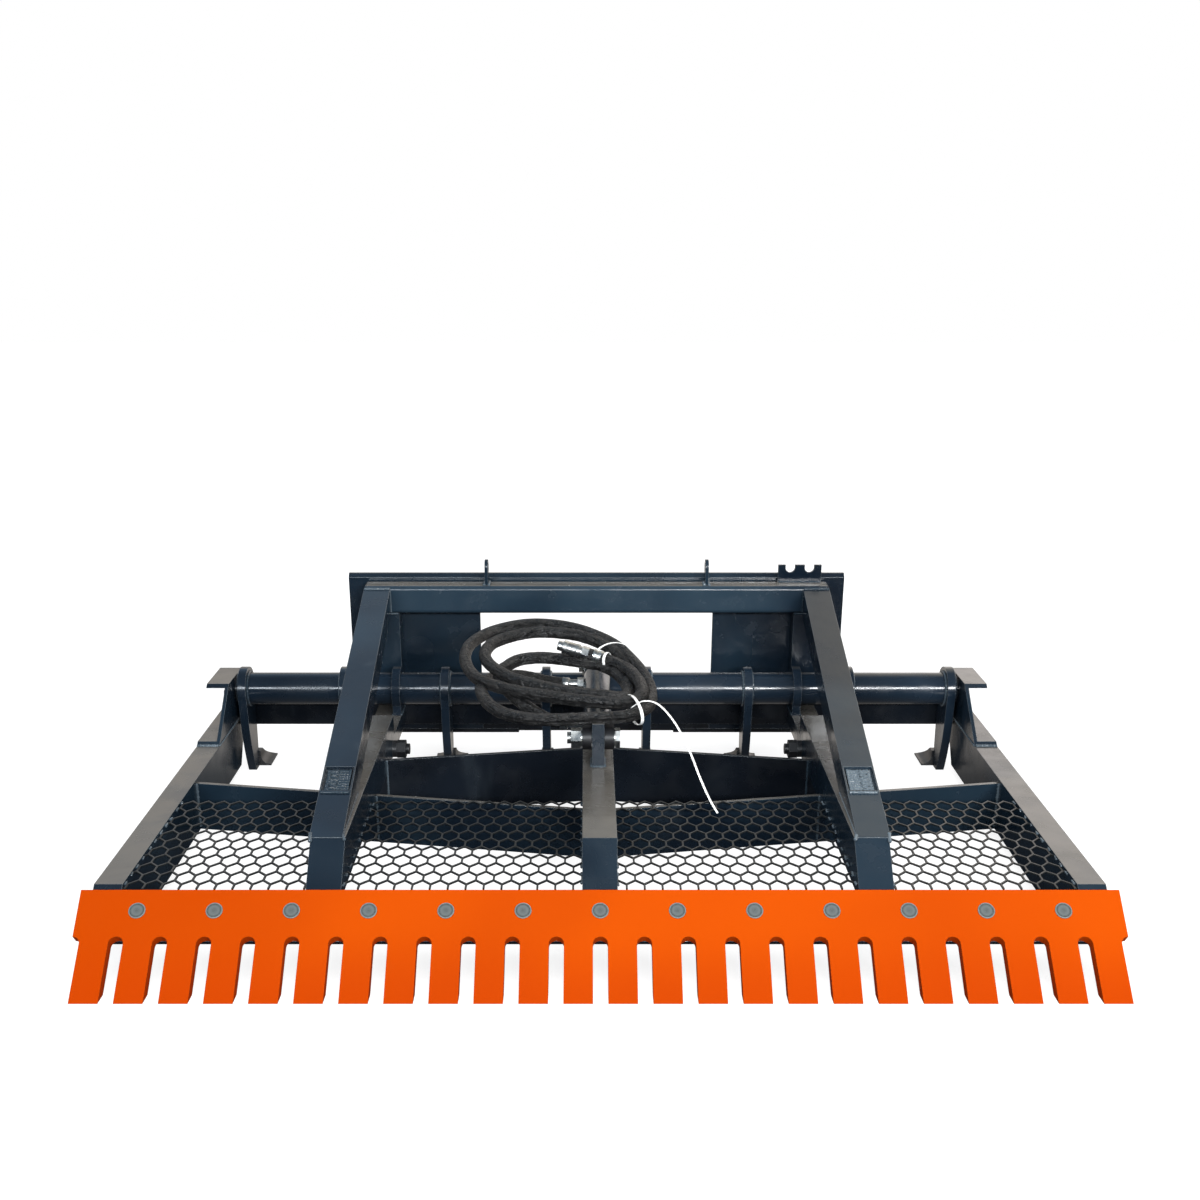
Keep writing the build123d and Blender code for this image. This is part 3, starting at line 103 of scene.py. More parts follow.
class Tree(Graph):
    """The node tree of a new material."""

    def __init__(self, name):
        self.material = bpy.data.materials.new(name)
        self.material.use_nodes = True
        super().__init__(self.material.node_tree)
        self.nodes.clear()
        self.output = self.nodes.new("ShaderNodeOutputMaterial")
        self.position = self.nodes.new("ShaderNodeTexCoord").outputs["Object"]

    def noise(self, scale, detail=3.0, vector=None, rough=0.55, distortion=0.0):
        node = self.nodes.new("ShaderNodeTexNoise")
        values = {"Scale": scale, "Detail": detail, "Roughness": rough, "Distortion": distortion}
        values["Vector"] = vector or self.position
        return self.set(node, values).outputs["Fac"]

    def stretch(self, x, y, z):
        node = self.nodes.new("ShaderNodeMapping")
        self.set(node, {"Vector": self.position, "Scale": (x, y, z)})
        return node.outputs["Vector"]

    def remap(self, value, low, high, to_low=0.0, to_high=1.0):
        node = self.nodes.new("ShaderNodeMapRange")
        node.interpolation_type = "SMOOTHSTEP"
        self.set(node, {"Value": value, "From Min": low, "From Max": high})
        self.set(node, {"To Min": to_low, "To Max": to_high})
        return node.outputs["Result"]

    def math(self, operation, a, b=0.0):
        node = self.nodes.new("ShaderNodeMath")
        node.operation = operation
        self.set(node, {0: a, 1: b})
        return node.outputs[0]

    def bump(self, height, strength, distance, normal=None):
        node = self.nodes.new("ShaderNodeBump")
        self.set(node, {"Height": height, "Strength": strength, "Distance": distance})
        if normal:
            self.set(node, {"Normal": normal})
        return node.outputs["Normal"]

    def edge(self, radius):
        """(0 on flat faces to 1 on convex edges, rounded normal)"""
        bevel = self.nodes.new("ShaderNodeBevel")
        bevel.samples = 4
        self.set(bevel, {"Radius": radius})
        geometry = self.nodes.new("ShaderNodeNewGeometry")
        dot = self.nodes.new("ShaderNodeVectorMath")
        dot.operation = "DOT_PRODUCT"
        self.set(dot, {0: bevel.outputs[0], 1: geometry.outputs["Normal"]})
        return self.remap(dot.outputs["Value"], 0.999, 0.9), bevel.outputs[0]

    def facing_up(self):
        """The face normal's Z: 1 on level faces."""
        geometry = self.nodes.new("ShaderNodeNewGeometry")
        return self.split(geometry.outputs["True Normal"])["Z"]

    def surface(self, **inputs):
        node = self.nodes.new("ShaderNodeBsdfPrincipled")
        self.set(node, {key.replace("_", " "): value for key, value in inputs.items()})
        self.links.new(node.outputs[0], self.output.inputs["Surface"])
        return self.material


def rgb(r, g, b):
    return (r, g, b, 1.0)


BLACK = rgb(0, 0, 0)
WHITE = rgb(1, 1, 1)


def make_frame_paint(name, dark, light, roughness=0.2, top_sheen=0.85, edge_highlight=0.55):
    """Glossy slate powder coat with faint orange peel, a painted highlight on convex edges and a painted
    pale reflection on level faces.
    """
    t = Tree(name)
    cloud = t.noise(2.6, 2.0, distortion=0.6)
    streak = t.noise(9.0, 3.0, vector=t.stretch(1.0, 1.0, 0.25))
    base = t.mix(t.remap(cloud, 0.35, 0.7), dark, light)
    base = t.mix(t.remap(streak, 0.62, 0.85, 0.0, 0.35), base, rgb(0.06, 0.075, 0.085))
    # painted reflection: level faces are mixed towards a pale warm grey, mottled by noise
    level = t.remap(t.facing_up(), 0.975, 0.995)
    top_sheen_mottle = t.remap(t.noise(5.0, 4.0, distortion=0.8), 0.25, 0.6, 0.55 * top_sheen, top_sheen)
    base = t.mix(t.math("MULTIPLY", level, top_sheen_mottle), base, rgb(0.088, 0.081, 0.070))
    # painted highlight: convex edges are mixed towards a paler grey
    edge, rounded = t.edge(1.6 * MM)
    base = t.mix(t.math("MULTIPLY", edge, edge_highlight), base, rgb(0.16, 0.18, 0.19))
    peel = t.noise(260.0, 2.0)
    ripple = t.noise(22.0, 2.0)
    height = t.math("ADD", t.math("MULTIPLY", peel, 0.18), ripple)
    normal = t.bump(height, 0.10, 0.004, rounded)
    rough = t.remap(t.noise(14.0, 4.0), 0.3, 0.75, roughness - 0.06, roughness + 0.12)
    return t.surface(Base_Color=base, Roughness=rough, Normal=normal, IOR=1.5)


def make_blade_paint():
    t = Tree("blade_paint")
    tone = t.noise(1.7, 2.0, distortion=0.4)
    base = t.mix(t.remap(tone, 0.3, 0.7), rgb(0.35, 0.037, 0.0003), rgb(0.41, 0.049, 0.0004))
    # the lower part of the teeth is a deeper red-orange
    low = t.remap(t.split(t.position)["Z"], 0.095, 0.0, 0.0, 0.6)
    base = t.mix(low, base, rgb(0.33, 0.027, 0.0004))
    edge, rounded = t.edge(1.2 * MM)
    # painted highlight: convex edges are mixed towards a paler orange
    base = t.mix(t.math("MULTIPLY", edge, 0.35), base, rgb(0.46, 0.085, 0.006))
    grime = t.remap(t.noise(38.0, 5.0), 0.66, 0.8, 0.0, 0.10)
    base = t.mix(grime, base, rgb(0.25, 0.05, 0.01))
    normal = t.bump(t.noise(180.0, 2.0), 0.05, 0.002, rounded)
    rough = t.remap(t.noise(11.0, 4.0), 0.3, 0.75, 0.32, 0.5)
    return t.surface(
        Base_Color=base,
        Roughness=rough,
        Normal=normal,
        IOR=1.4,
        Specular_IOR_Level=0.16,
        Specular_Tint=rgb(1.0, 0.35, 0.1),
    )


def make_metal(name, dark, light, roughness, scale=60.0):
    t = Tree(name)
    mottle = t.noise(scale, 4.0)
    base = t.mix(t.remap(mottle, 0.35, 0.68), dark, light)
    edge, rounded = t.edge(0.6 * MM)
    # painted highlight: convex edges are mixed towards near white
    base = t.mix(t.math("MULTIPLY", edge, 0.5), base, rgb(0.9, 0.9, 0.88))
    normal = t.bump(t.noise(scale * 6, 2.0), 0.06, 0.001, rounded)
    rough = t.remap(t.noise(scale * 0.7, 3.0), 0.3, 0.7, roughness - 0.06, roughness + 0.12)
    return t.surface(Base_Color=base, Metallic=1.0, Roughness=rough, Normal=normal)


def make_bolt_head_metal():
    """Zinc with rings of painted light and shade round each blade bolt: grey centre, a painted shadow
    ring and a painted highlight on the rim.
    """
    t = Tree("zinc_blade_bolts")
    place = t.split(t.position)
    across = t.nodes.new("ShaderNodeMath")
    across.operation = "WRAP"
    t.set(across, {0: place["X"], 1: BLADE_BOLT_PITCH / 2, 2: -BLADE_BOLT_PITCH / 2})
    down = Vector((0, -math.cos(BLADE_SLOPE), -math.sin(BLADE_SLOPE)))
    along_y = t.math("MULTIPLY", t.math("SUBTRACT", place["Y"], BLADE_BOLT_FACE.y), down.y)
    along_z = t.math("MULTIPLY", t.math("SUBTRACT", place["Z"], BLADE_BOLT_FACE.z), down.z)
    along = t.math("ADD", along_y, along_z)
    along_square = t.math("MULTIPLY", along, along)
    across_square = t.math("MULTIPLY", across.outputs[0], across.outputs[0])
    radius = t.math("SQRT", t.math("ADD", along_square, across_square))
    # painted shading of the domed head: a dark painted shadow ring near the edge and a pale painted
    # highlight on the rim
    painted_ring_shades = (
        (0.0, 0.08), (0.25, 0.10), (0.55, 0.14), (0.72, 0.08), (0.80, 0.03), (0.90, 0.18), (1.0, 0.22),
    )
    stops = [(share, rgb(shade * 0.92, shade * 1.02, shade * 1.02)) for share, shade in painted_ring_shades]
    rings = t.ramp(radius, 0.0, BLADE_BOLT_HEAD_R, stops)
    mottle = t.remap(t.noise(420.0, 3.0), 0.35, 0.7, 0.0, 0.5)
    base = t.mix(mottle, rings, rgb(0.12, 0.15, 0.145))
    normal = t.bump(t.noise(500.0, 2.0), 0.12, 0.001)
    return t.surface(Base_Color=base, Metallic=0.3, Roughness=0.42, Normal=normal)


def make_hose_sleeve():
    """Black textile sleeve, creased along its length; u runs round the hose and v along it."""
    t = Tree("hose_sleeve")
    uv = t.nodes.new("ShaderNodeTexCoord").outputs["UV"]
    stretched = t.nodes.new("ShaderNodeMapping")
    t.set(stretched, {"Vector": uv, "Scale": (7.0, 1.6, 1.0)})
    crease = t.noise(1.0, 3.0, vector=stretched.outputs["Vector"], rough=0.6, distortion=1.2)
    crumple = t.noise(85.0, 3.0, distortion=0.8)
    fibre = t.noise(900.0, 3.0)
    # painted shade and highlight: the colour follows the crease height that also drives the bump, darker
    # in the creases and paler on the crests
    tone = t.math("ADD", t.math("MULTIPLY", crease, 0.6), t.math("MULTIPLY", crumple, 0.4))
    base = t.mix(t.remap(tone, 0.42, 0.62), rgb(0.002, 0.002, 0.002), rgb(0.017, 0.016, 0.015))
    base = t.mix(t.remap(fibre, 0.5, 0.8, 0.0, 0.5), base, rgb(0.036, 0.034, 0.031))
    folds = t.math("ADD", t.math("MULTIPLY", crease, 1.0), t.math("MULTIPLY", crumple, 0.7))
    folded = t.bump(folds, 0.9, 0.012)
    normal = t.bump(fibre, 0.4, 0.0015, folded)
    rough = t.remap(crumple, 0.3, 0.7, 0.30, 0.55)
    return t.surface(Base_Color=base, Roughness=rough, Normal=normal)


def make_plastic(name, dark, light, roughness):
    t = Tree(name)
    base = t.mix(t.remap(t.noise(45.0, 3.0), 0.3, 0.7), dark, light)
    normal = t.bump(t.noise(300.0, 2.0), 0.05, 0.001)
    rough = t.remap(t.noise(30.0, 2.0), 0.3, 0.7, roughness - 0.05, roughness + 0.08)
    return t.surface(Base_Color=base, Roughness=rough, Normal=normal)


frame_paint = make_frame_paint("frame_paint", rgb(0.0035, 0.0075, 0.0135), rgb(0.010, 0.020, 0.031))
ripper_paint = make_frame_paint(
    "ripper_paint", rgb(0.004, 0.008, 0.014), rgb(0.012, 0.022, 0.036), top_sheen=0.3
)
mesh_paint = make_frame_paint(
    "mesh_paint", rgb(0.003, 0.004, 0.005), rgb(0.009, 0.010, 0.010), roughness=0.42, top_sheen=0.1, edge_highlight=0.05
)
point_paint = make_frame_paint(
    "point_paint", rgb(0.003, 0.003, 0.004), rgb(0.009, 0.009, 0.010), roughness=0.4, top_sheen=0.1, edge_highlight=0.2
)
# painted shade: a darker copy of the frame paint for the rear beam, rear V plate and hitch pieces, which
# sit in shadow
shaded_rear_paint = make_frame_paint(
    "shaded_rear_paint", rgb(0.002, 0.003, 0.005), rgb(0.006, 0.009, 0.014), roughness=0.25, top_sheen=0.1
)
# painted highlight: the beads are a much paler, glossier copy of the frame paint
bead_paint = make_frame_paint(
    "bead_paint", rgb(0.014, 0.024, 0.034), rgb(0.085, 0.110, 0.130), roughness=0.14, top_sheen=0.2
)
# painted light: a paler copy of the frame paint for the top crossbeam, with the painted reflection on its
# top at full strength
lit_crossbeam_paint = make_frame_paint(
    "lit_crossbeam_paint", rgb(0.007, 0.015, 0.025), rgb(0.018, 0.034, 0.050), top_sheen=2.0
)
blade_paint = make_blade_paint()
zinc = make_metal("zinc", rgb(0.40, 0.40, 0.38), rgb(0.74, 0.74, 0.71), 0.28)
bolt_head_metal = make_bolt_head_metal()
chrome = make_metal("chrome", rgb(0.72, 0.73, 0.75), rgb(0.85, 0.86, 0.87), 0.09, 20.0)
bare_steel = make_metal("bare_steel", rgb(0.30, 0.30, 0.31), rgb(0.52, 0.52, 0.53), 0.3)
hose_sleeve = make_hose_sleeve()
seal_rubber = make_plastic("seal_rubber", rgb(0.012, 0.012, 0.013), rgb(0.03, 0.03, 0.032), 0.55)
tie_plastic = make_plastic("tie_plastic", rgb(0.74, 0.74, 0.72), rgb(0.88, 0.88, 0.86), 0.4)

SLOT_MATERIALS = {
    "frame_paint": frame_paint,
    "blade_paint": blade_paint,
    "zinc": zinc,
    "chrome": chrome,
    "bare_steel": bare_steel,
    "seal": seal_rubber,
    "hose": hose_sleeve,
    "tie_plastic": tie_plastic,
}
NODE_MATERIALS = {
    "blade_bolts": bolt_head_metal,
    "inner_mesh_panels": mesh_paint,
    "outer_mesh_panels": mesh_paint,
    "ripper_shanks": ripper_paint,
    "ripper_points": point_paint,
    "rotor_pipe": ripper_paint,
    "pipe_brackets": ripper_paint,
    # painted shade on the rear pieces
    "rear_beam": shaded_rear_paint,
    "rear_v_plate": shaded_rear_paint,
    "hitch_flanges": shaded_rear_paint,
    "hitch_bottom_strip": shaded_rear_paint,
    "top_crossbeam": lit_crossbeam_paint,
    "cylinder_clevis": point_paint,
    "frame_joint_bolts": point_paint,
    "frame_joint_nuts": point_paint,
    "frame_joint_washers": point_paint,
}
for part in frame["record"]["subparts"]:
    name = part["node"]
    made = NODE_MATERIALS.get(name) or SLOT_MATERIALS[part["material_slot"]]
    nodes[name].data.materials.clear()
    nodes[name].data.materials.append(made)


# ---- swept pieces -------------------------------------------------------
def smooth_path(points, step):
    """Catmull-Rom through the points, sampled about every step metres."""
    points = [Vector(p) for p in points]
    padded = [2 * points[0] - points[1]] + points + [2 * points[-1] - points[-2]]
    path = []
    for a, b, c, d in zip(padded, padded[1:], padded[2:], padded[3:]):
        count = max(2, round((c - b).length / step))
        for i in range(count):
            s = i / count
            path.append(
                0.5
                * (
                    2 * b
                    + (c - a) * s
                    + (2 * a - 5 * b + 4 * c - d) * s * s
                    + (3 * b - a - 3 * c + d) * s * s * s
                )
            )
    path.append(points[-1])
    return path


def straight_path(points, step):
    points = [Vector(p) for p in points]
    path = []
    for a, b in zip(points, points[1:]):
        count = max(1, round((b - a).length / step))
        path += [a.lerp(b, i / count) for i in range(count)]
    return path + [points[-1]]


def circle_path(centre, radius, step):
    """Round the X axis."""
    count = max(8, round(2 * math.pi * radius / step))
    centre = Vector(centre)
    turns = [2 * math.pi * i / count for i in range(count + 1)]
    return [centre + Vector((0, radius * math.cos(a), radius * math.sin(a))) for a in turns]


def add_sweep(verts, faces, uvs, path, size, sides=10, up=Vector((0, 0, 1))):
    """Adds a tube round path. size(i, turn) gives (radius across, radius up)."""
    start = len(verts)
    tangent = (path[1] - path[0]).normalized()
    across = tangent.cross(up)
    if across.length < 1e-4:
        across = tangent.cross(Vector((0, 1, 0)))
    across.normalize()
    run = 0.0
    for i, point in enumerate(path):
        ahead = path[min(i + 1, len(path) - 1)]
        behind = path[max(i - 1, 0)]
        tangent = (ahead - behind).normalized()
        across = (across - tangent * across.dot(tangent)).normalized()
        lift = across.cross(tangent)
        run += (point - behind).length
        for k in range(sides):
            turn = 2 * math.pi * k / sides
            wide, tall = size(i, turn)
            verts.append(point + across * wide * math.cos(turn) + lift * tall * math.sin(turn))
            uvs.append((k / sides, run * 12))
    for i in range(len(path) - 1):
        for k in range(sides):
            a = start + i * sides + k
            b = start + i * sides + (k + 1) % sides
            faces.append((a, b, b + sides, a + sides))
    faces.append(tuple(start + k for k in reversed(range(sides))))
    last = start + (len(path) - 1) * sides
    faces.append(tuple(last + k for k in range(sides)))


def make_piece(name, verts, faces, uvs, material, body):
    mesh = bpy.data.meshes.new(name)
    mesh.from_pydata([tuple(v) for v in verts], [], faces)
    if uvs:
        layer = mesh.uv_layers.new(name="UVMap")
        for loop in mesh.loops:
            layer.data[loop.index].uv = uvs[loop.vertex_index]
    mesh.shade_smooth()
    mesh.materials.append(material)
    piece = bpy.data.objects.new(name, mesh)
    bpy.context.scene.collection.objects.link(piece)
    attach(piece, body)
    return piece


# ---- hoses, their fittings and the ties ---------------------------------
HOSE_PATHS = {
    "return_hose": (
        (-66, 313, 268), (-110, 313, 274), (-172, 296, 292), (-226, 232, 306), (-246, 160, 312),
        (-243, 102, 311), (-219, 43, 302), (-176, 2, 296), (-111, -14, 293), (-14, -8, 294),
        (60, 2, 296), (102, 46, 300), (112, 110, 308), (104, 175, 322), (78, 244, 340),
        (36, 324, 357), (-33, 383, 372), (-102, 408, 379), (-170, 408, 379), (-237, 378, 371),
        (-279, 324, 360), (-290, 262, 347), (-277, 198, 335), (-246, 145, 326), (-181, 106, 318),
        (-96, 76, 313), (-13, 56, 309), (52, 44, 310), (88, 62, 318), (91, 96, 327),
        (82, 134, 335), (60, 180, 344), (14, 228, 351), (-22, 237, 360),
    ),
    "pressure_hose": (
        (-66, 78, 255), (-105, 84, 262), (-150, 106, 282), (-192, 146, 305), (-212, 196, 325),
        (-180, 240, 341), (-134, 253, 346), (-82, 250, 344), (-25, 235, 340), (10, 226, 336),
        (42, 189, 329), (61, 140, 319), (64, 92, 313), (46, 74, 313), (4, 80, 315), (-55, 93, 317),
        (-118, 119, 322), (-183, 154, 330), (-228, 207, 340), (-246, 258, 350), (-236, 312, 359),
        (-200, 348, 366), (-146, 371, 371), (-92, 370, 371), (-30, 352, 366), (30, 306, 352),
        (66, 250, 335), (84, 190, 318), (94, 140, 306), (100, 96, 300),
    ),
}


def make_hose(name, wrinkle_from):
    path = smooth_path([Vector(p) * MM for p in HOSE_PATHS[name]], 0.004)
    verts, faces, uvs = [], [], []
    crease = [rng.uniform(-1, 1) for _ in range(len(path) + 8)]

    def size(i, turn):
        share = i / len(path)
        wrinkled = 1.0 if share > wrinkle_from or share < 0.3 else 0.25
        swell = 0.5 * (crease[i] + crease[i + 1]) * math.sin(turn * 2 + i * 0.35)
        radius = HOSE_R * (1 + 0.055 * wrinkled * swell)
        return radius, radius

    add_sweep(verts, faces, uvs, path, size, 20)
    piece = make_piece(name + "_sleeve", verts, faces, uvs, hose_sleeve, "frame")
    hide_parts(name)
    return path


return_path = make_hose("return_hose", 0.8)
pressure_path = make_hose("pressure_hose", 0.5)


def add_turned(verts, faces, start, axis, profile, stretch=1.0, sides=32):
    """Adds a turned body: profile is (distance along axis, radius, flats) rings."""
    axis = axis.normalized()
    across = axis.cross(Vector((0, 0, 1))).normalized()
    lift = across.cross(axis)
    base = len(verts)
    for place, radius, flats in profile:
        for k in range(sides):
            turn = 2 * math.pi * k / sides
            reach = radius
            if flats:
                part = (turn % (math.pi / 3)) - math.pi / 6
                reach = radius / math.cos(part)
            spoke = across * math.cos(turn) + lift * math.sin(turn)
            verts.append(start + axis * place * stretch + spoke * reach)
    for i in range(len(profile) - 1):
        for k in range(sides):
            a = base + i * sides + k
            b = base + i * sides + (k + 1) % sides
            faces.append((a, b, b + sides, a + sides))
    faces.append(tuple(base + k for k in reversed(range(sides))))
    last = base + (len(profile) - 1) * sides
    faces.append(tuple(last + k for k in range(sides)))


COUPLER_PROFILE = (
    (-0.030, 0.0135, 0), (-0.029, 0.0145, 0), (-0.022, 0.0145, 0), (-0.021, 0.0138, 0),
    (-0.017, 0.0138, 0), (-0.016, 0.0145, 0), (-0.010, 0.0145, 0), (-0.009, 0.0105, 0),
    (-0.002, 0.0105, 0), (-0.002, 0.0135, 1), (0.010, 0.0135, 1), (0.010, 0.0120, 0),
    (0.014, 0.0120, 0), (0.015, 0.0150, 0), (0.020, 0.0150, 0), (0.021, 0.0142, 0),
    (0.036, 0.0142, 0), (0.037, 0.0150, 0), (0.043, 0.0150, 0), (0.044, 0.0110, 0),
    (0.052, 0.0105, 0), (0.053, 0.0070, 0), (0.047, 0.0065, 0),
)
FERRULE_PROFILE = ((-0.004, 0.0125, 0), (-0.003, 0.0138, 0), (0.012, 0.0138, 0), (0.013, 0.0125, 0))


def make_couplers():
    """Quick couplers on the free ends of the hoses."""
    verts, faces = [], []
    for path, stretch in ((return_path, 1.27), (pressure_path, 0.8)):
        add_turned(verts, faces, path[-1], path[-1] - path[-4], COUPLER_PROFILE, stretch)
    couplers = make_piece("couplers", verts, faces, None, zinc, "frame")
    couplers.data.shade_flat()
    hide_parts("hose_couplers")


def make_ferrules():
    """Crimped collars where the hoses start at the cylinder's ports."""
    verts, faces = [], []
    for path in (return_path, pressure_path):
        add_turned(verts, faces, path[0], path[4] - path[0], FERRULE_PROFILE)
    make_piece("port_ferrules", verts, faces, None, zinc, "frame")


def add_band(verts, faces, uvs, path, width, thickness):
    add_sweep(verts, faces, uvs, path, lambda i, turn: (width, thickness), 8)


def loop_round(centre, along, wide, tall, lean=0.0, count=36):
    """A closed oval round the direction along."""
    along = Vector(along).normalized()
    side = along.cross(Vector((0, 0, 1))).normalized()
    top = side.cross(along)
    out = []
    for i in range(count + 1):
        a = 2 * math.pi * i / count
        level = side * wide * math.cos(a)
        upright = top * tall * math.sin(a)
        out.append(Vector(centre) + level + upright + along * lean * math.cos(a))
    return out


TIE_WIDTH = 0.0034
TIE_LOOPS = (  # centre, direction that the tie goes round, half width, half height, lean
    ((0.074, 0.030, 0.300), (1, 0.15, 0), 0.062, 0.026, 0.006),
    ((0.030, 0.262, 0.345), (0.5, -0.9, 0), 0.050, 0.032, 0.004),
    ((0.020, 0.222, 0.351), (0.9, -0.5, 0), 0.0155, 0.0155, 0.0),
)
TIE_TAIL = (
    (68, 26, 306), (92, 22, 321), (122, 10, 318), (154, -20, 290),
    (182, -58, 245), (203, -88, 197), (221, -108, 160), (238, -124, 133),
)


def make_ties():
    """Three white ties and the long tail that one of them leaves hanging."""
    verts, faces, uvs = [], [], []
    for centre, along, wide, tall, lean in TIE_LOOPS:
        loop = loop_round(centre, along, wide, tall, lean)
        add_band(verts, faces, uvs, loop, TIE_WIDTH, 0.0009)
    tail = smooth_path([Vector(p) * MM for p in TIE_TAIL], 0.006)
    add_band(verts, faces, uvs, tail, TIE_WIDTH, 0.0011)
    ties = make_piece("white_ties", verts, faces, uvs, tie_plastic, "frame")
    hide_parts("cable_ties")


make_couplers()
make_ferrules()
make_ties()


# ---- weld beads ---------------------------------------------------------
class Beads:
    """Weld beads of one body, gathered into one piece."""

    def __init__(self, name, body):
        self.name, self.body = name, body
        self.verts, self.faces, self.uvs = [], [], []

    def add(self, path, radius):
        wobble = [rng.uniform(0.82, 1.12) for _ in path]

        def size(i, turn):
            ripple = 0.86 + 0.16 * math.sin(i * 2.1)
            reach = radius * ripple * wobble[i]
            return reach, reach

        add_sweep(self.verts, self.faces, self.uvs, path, size, 8)

    def line(self, a, b, radius=3.0 * MM):
        self.add(straight_path((a, b), 0.0022), radius)

    def ring(self, x, centre, r, radius=3.0 * MM):
        self.add(circle_path((x, centre[0], centre[1]), r, 0.0026), radius)

    def done(self):
        make_piece(self.name, self.verts, self.faces, self.uvs, bead_paint, self.body)


SIDES = (-1, 1)
SHANK_COUNT = 8
SHANK_END_X = 0.830
SHANK_FACE = 0.0105
SLEEVE_EDGES = (-0.029, -0.015, 0.015, 0.029)

ARM_RISE = (0.435 - 0.196) / (CROSS_FRONT - BEND_Y)
ARM_SPLAY = 0.018 / (CROSS_FRONT - BEND_Y)
ARM_END_Y = 0.519
SPLICE_PASSES = 11
SPLICE_FRONT_Y = -0.262

# where beads run, just outside the plates that they join
RAIL_X = 0.8495
BEAM_IN_X = 0.459
BEAM_OUT_X = 0.5245
BEAM_TOP_Z = 0.1965
PLATE_BOTTOM_Z = 0.028
FRONT_PLATE_TOP_Z = 0.126
BRACKET_Z = 0.1345
HITCH_TOP_Z = 0.4425
CLEVIS_Z = 0.1975
MESH_Z = 0.1298
MESH_PITCH_Y = 0.0382


def add_ripper_beads():
    beads = Beads("ripper_beads", "ripper")
    pipe_yz = (PIPE_CENTRE.y, PIPE_CENTRE.z)
    shank_pitch = 2 * SHANK_END_X / (SHANK_COUNT - 1)
    for index in range(SHANK_COUNT):
        shank_x = -SHANK_END_X + index * shank_pitch
        for side in SIDES:
            beads.ring(shank_x + side * SHANK_FACE, pipe_yz, PIPE_R + 0.0015, 3.6 * MM)
    for x in SLEEVE_EDGES:
        beads.ring(x, pipe_yz, PIPE_R + 0.001, 2.6 * MM)
    beads.done()


def arm_z(y):
    """Height of an arm's top."""
    return 0.435 - (CROSS_FRONT - y) * ARM_RISE


def arm_x(side, inset, y):
    """X on an arm, this far out from its inner face."""
    return side * (0.465 + inset + (y - BEND_Y) * ARM_SPLAY)


def across_arm(beads, side, y, lift, near, far, radius):
    """A bead across an arm's top, from near to far of its inner face."""
    z = arm_z(y) + lift
    beads.line((arm_x(side, near, y), y, z), (arm_x(side, far, y), y, z), radius)


def add_arm_beads(beads, side):
    # arm end on the crossbeam
    end_in = (arm_x(side, 0.001, ARM_END_Y), ARM_END_Y, 0.4355)
    end_out = (arm_x(side, 0.060, ARM_END_Y), ARM_END_Y, 0.4355)
    beads.line(end_in, end_out, 4.0 * MM)
    corner_x = arm_x(side, 0, 0.518)
    beads.line((corner_x, ARM_END_Y, 0.380), (corner_x, ARM_END_Y, 0.432))
    # splice in the arm: passes fill the step, a zigzag lies on them, one bead runs along the front
    for i in range(SPLICE_PASSES):
        across_arm(beads, side, -0.1818 - i * 0.0076, -0.0086, 0.0075, 0.0535, 5.2 * MM)
    zigzag = []
    for i in range(SPLICE_PASSES):
        y = -0.186 - i * 0.0062
        inset = 0.036 + (0.010 if i % 2 else -0.004)
        zigzag.append(Vector((arm_x(side, inset, y), y, arm_z(y) - 0.0042)))
    beads.add(smooth_path(zigzag, 0.0025), 3.0 * MM)
    across_arm(beads, side, SPLICE_FRONT_Y, 0.001, 0.004, 0.057, 3.6 * MM)
    # bend of the long beam: bead stubs at its corners
    beads.line((side * 0.5255, -0.380, 0.1985), (side * 0.5225, -0.404, 0.192), 4.2 * MM)
    beads.line((side * 0.4650, -0.386, 0.1975), (side * 0.4605, -0.402, 0.1945), 3.8 * MM)
    # side of the arm foot on the long beam
    foot_front = (arm_x(side, 0, -0.380), -0.380, BEAM_TOP_Z)
    foot_rear = (arm_x(side, 0, -0.172), -0.172, BEAM_TOP_Z)
    beads.line(foot_front, foot_rear, 2.4 * MM)


def add_plate_beads(beads, side):
    """Upright beads of the V plates on the rails, the long beams and the centre beam."""
    for x, y, top, radius in (
        (RAIL_X, 0.0595, FRONT_PLATE_TOP_Z, 4.4 * MM),
        (BEAM_IN_X, 0.1645, 0.139, 3.4 * MM),
        (BEAM_OUT_X, -0.001, FRONT_PLATE_TOP_Z, 3.6 * MM),
        (BEAM_IN_X, -0.0115, FRONT_PLATE_TOP_Z, 3.6 * MM),
        (0.0325, -0.0890, FRONT_PLATE_TOP_Z, 3.4 * MM),
    ):
        beads.line((side * x, y, PLATE_BOTTOM_Z), (side * x, y, top), radius)


def add_bracket_beads(beads, side):
    # bracket on the rail
    beads.line((side * 0.852, 0.2715, 0.1348), (side * 0.900, 0.2715, 0.1348), 4.4 * MM)
    beads.line((side * RAIL_X, 0.274, BRACKET_Z), (side * RAIL_X, 0.520, BRACKET_Z), 2.6 * MM)
    # pipe bracket on the long beam's tail
    for face in (0.4600, 0.4800):
        beads.line((side * face, 0.444, 0.1510), (side * face, 0.524, 0.1510), 3.0 * MM)


def add_hitch_beads(beads, side):
    # post under the crossbeam
    beads.line((side * 0.467, 0.5275, 0.3750), (side * 0.523, 0.5275, 0.3750), 3.4 * MM)
    # lifting lug
    for face in SIDES:
        x = side * 0.258 + face * 0.0055
        beads.line((x, 0.530, HITCH_TOP_Z), (x, 0.570, HITCH_TOP_Z), 4.0 * MM)


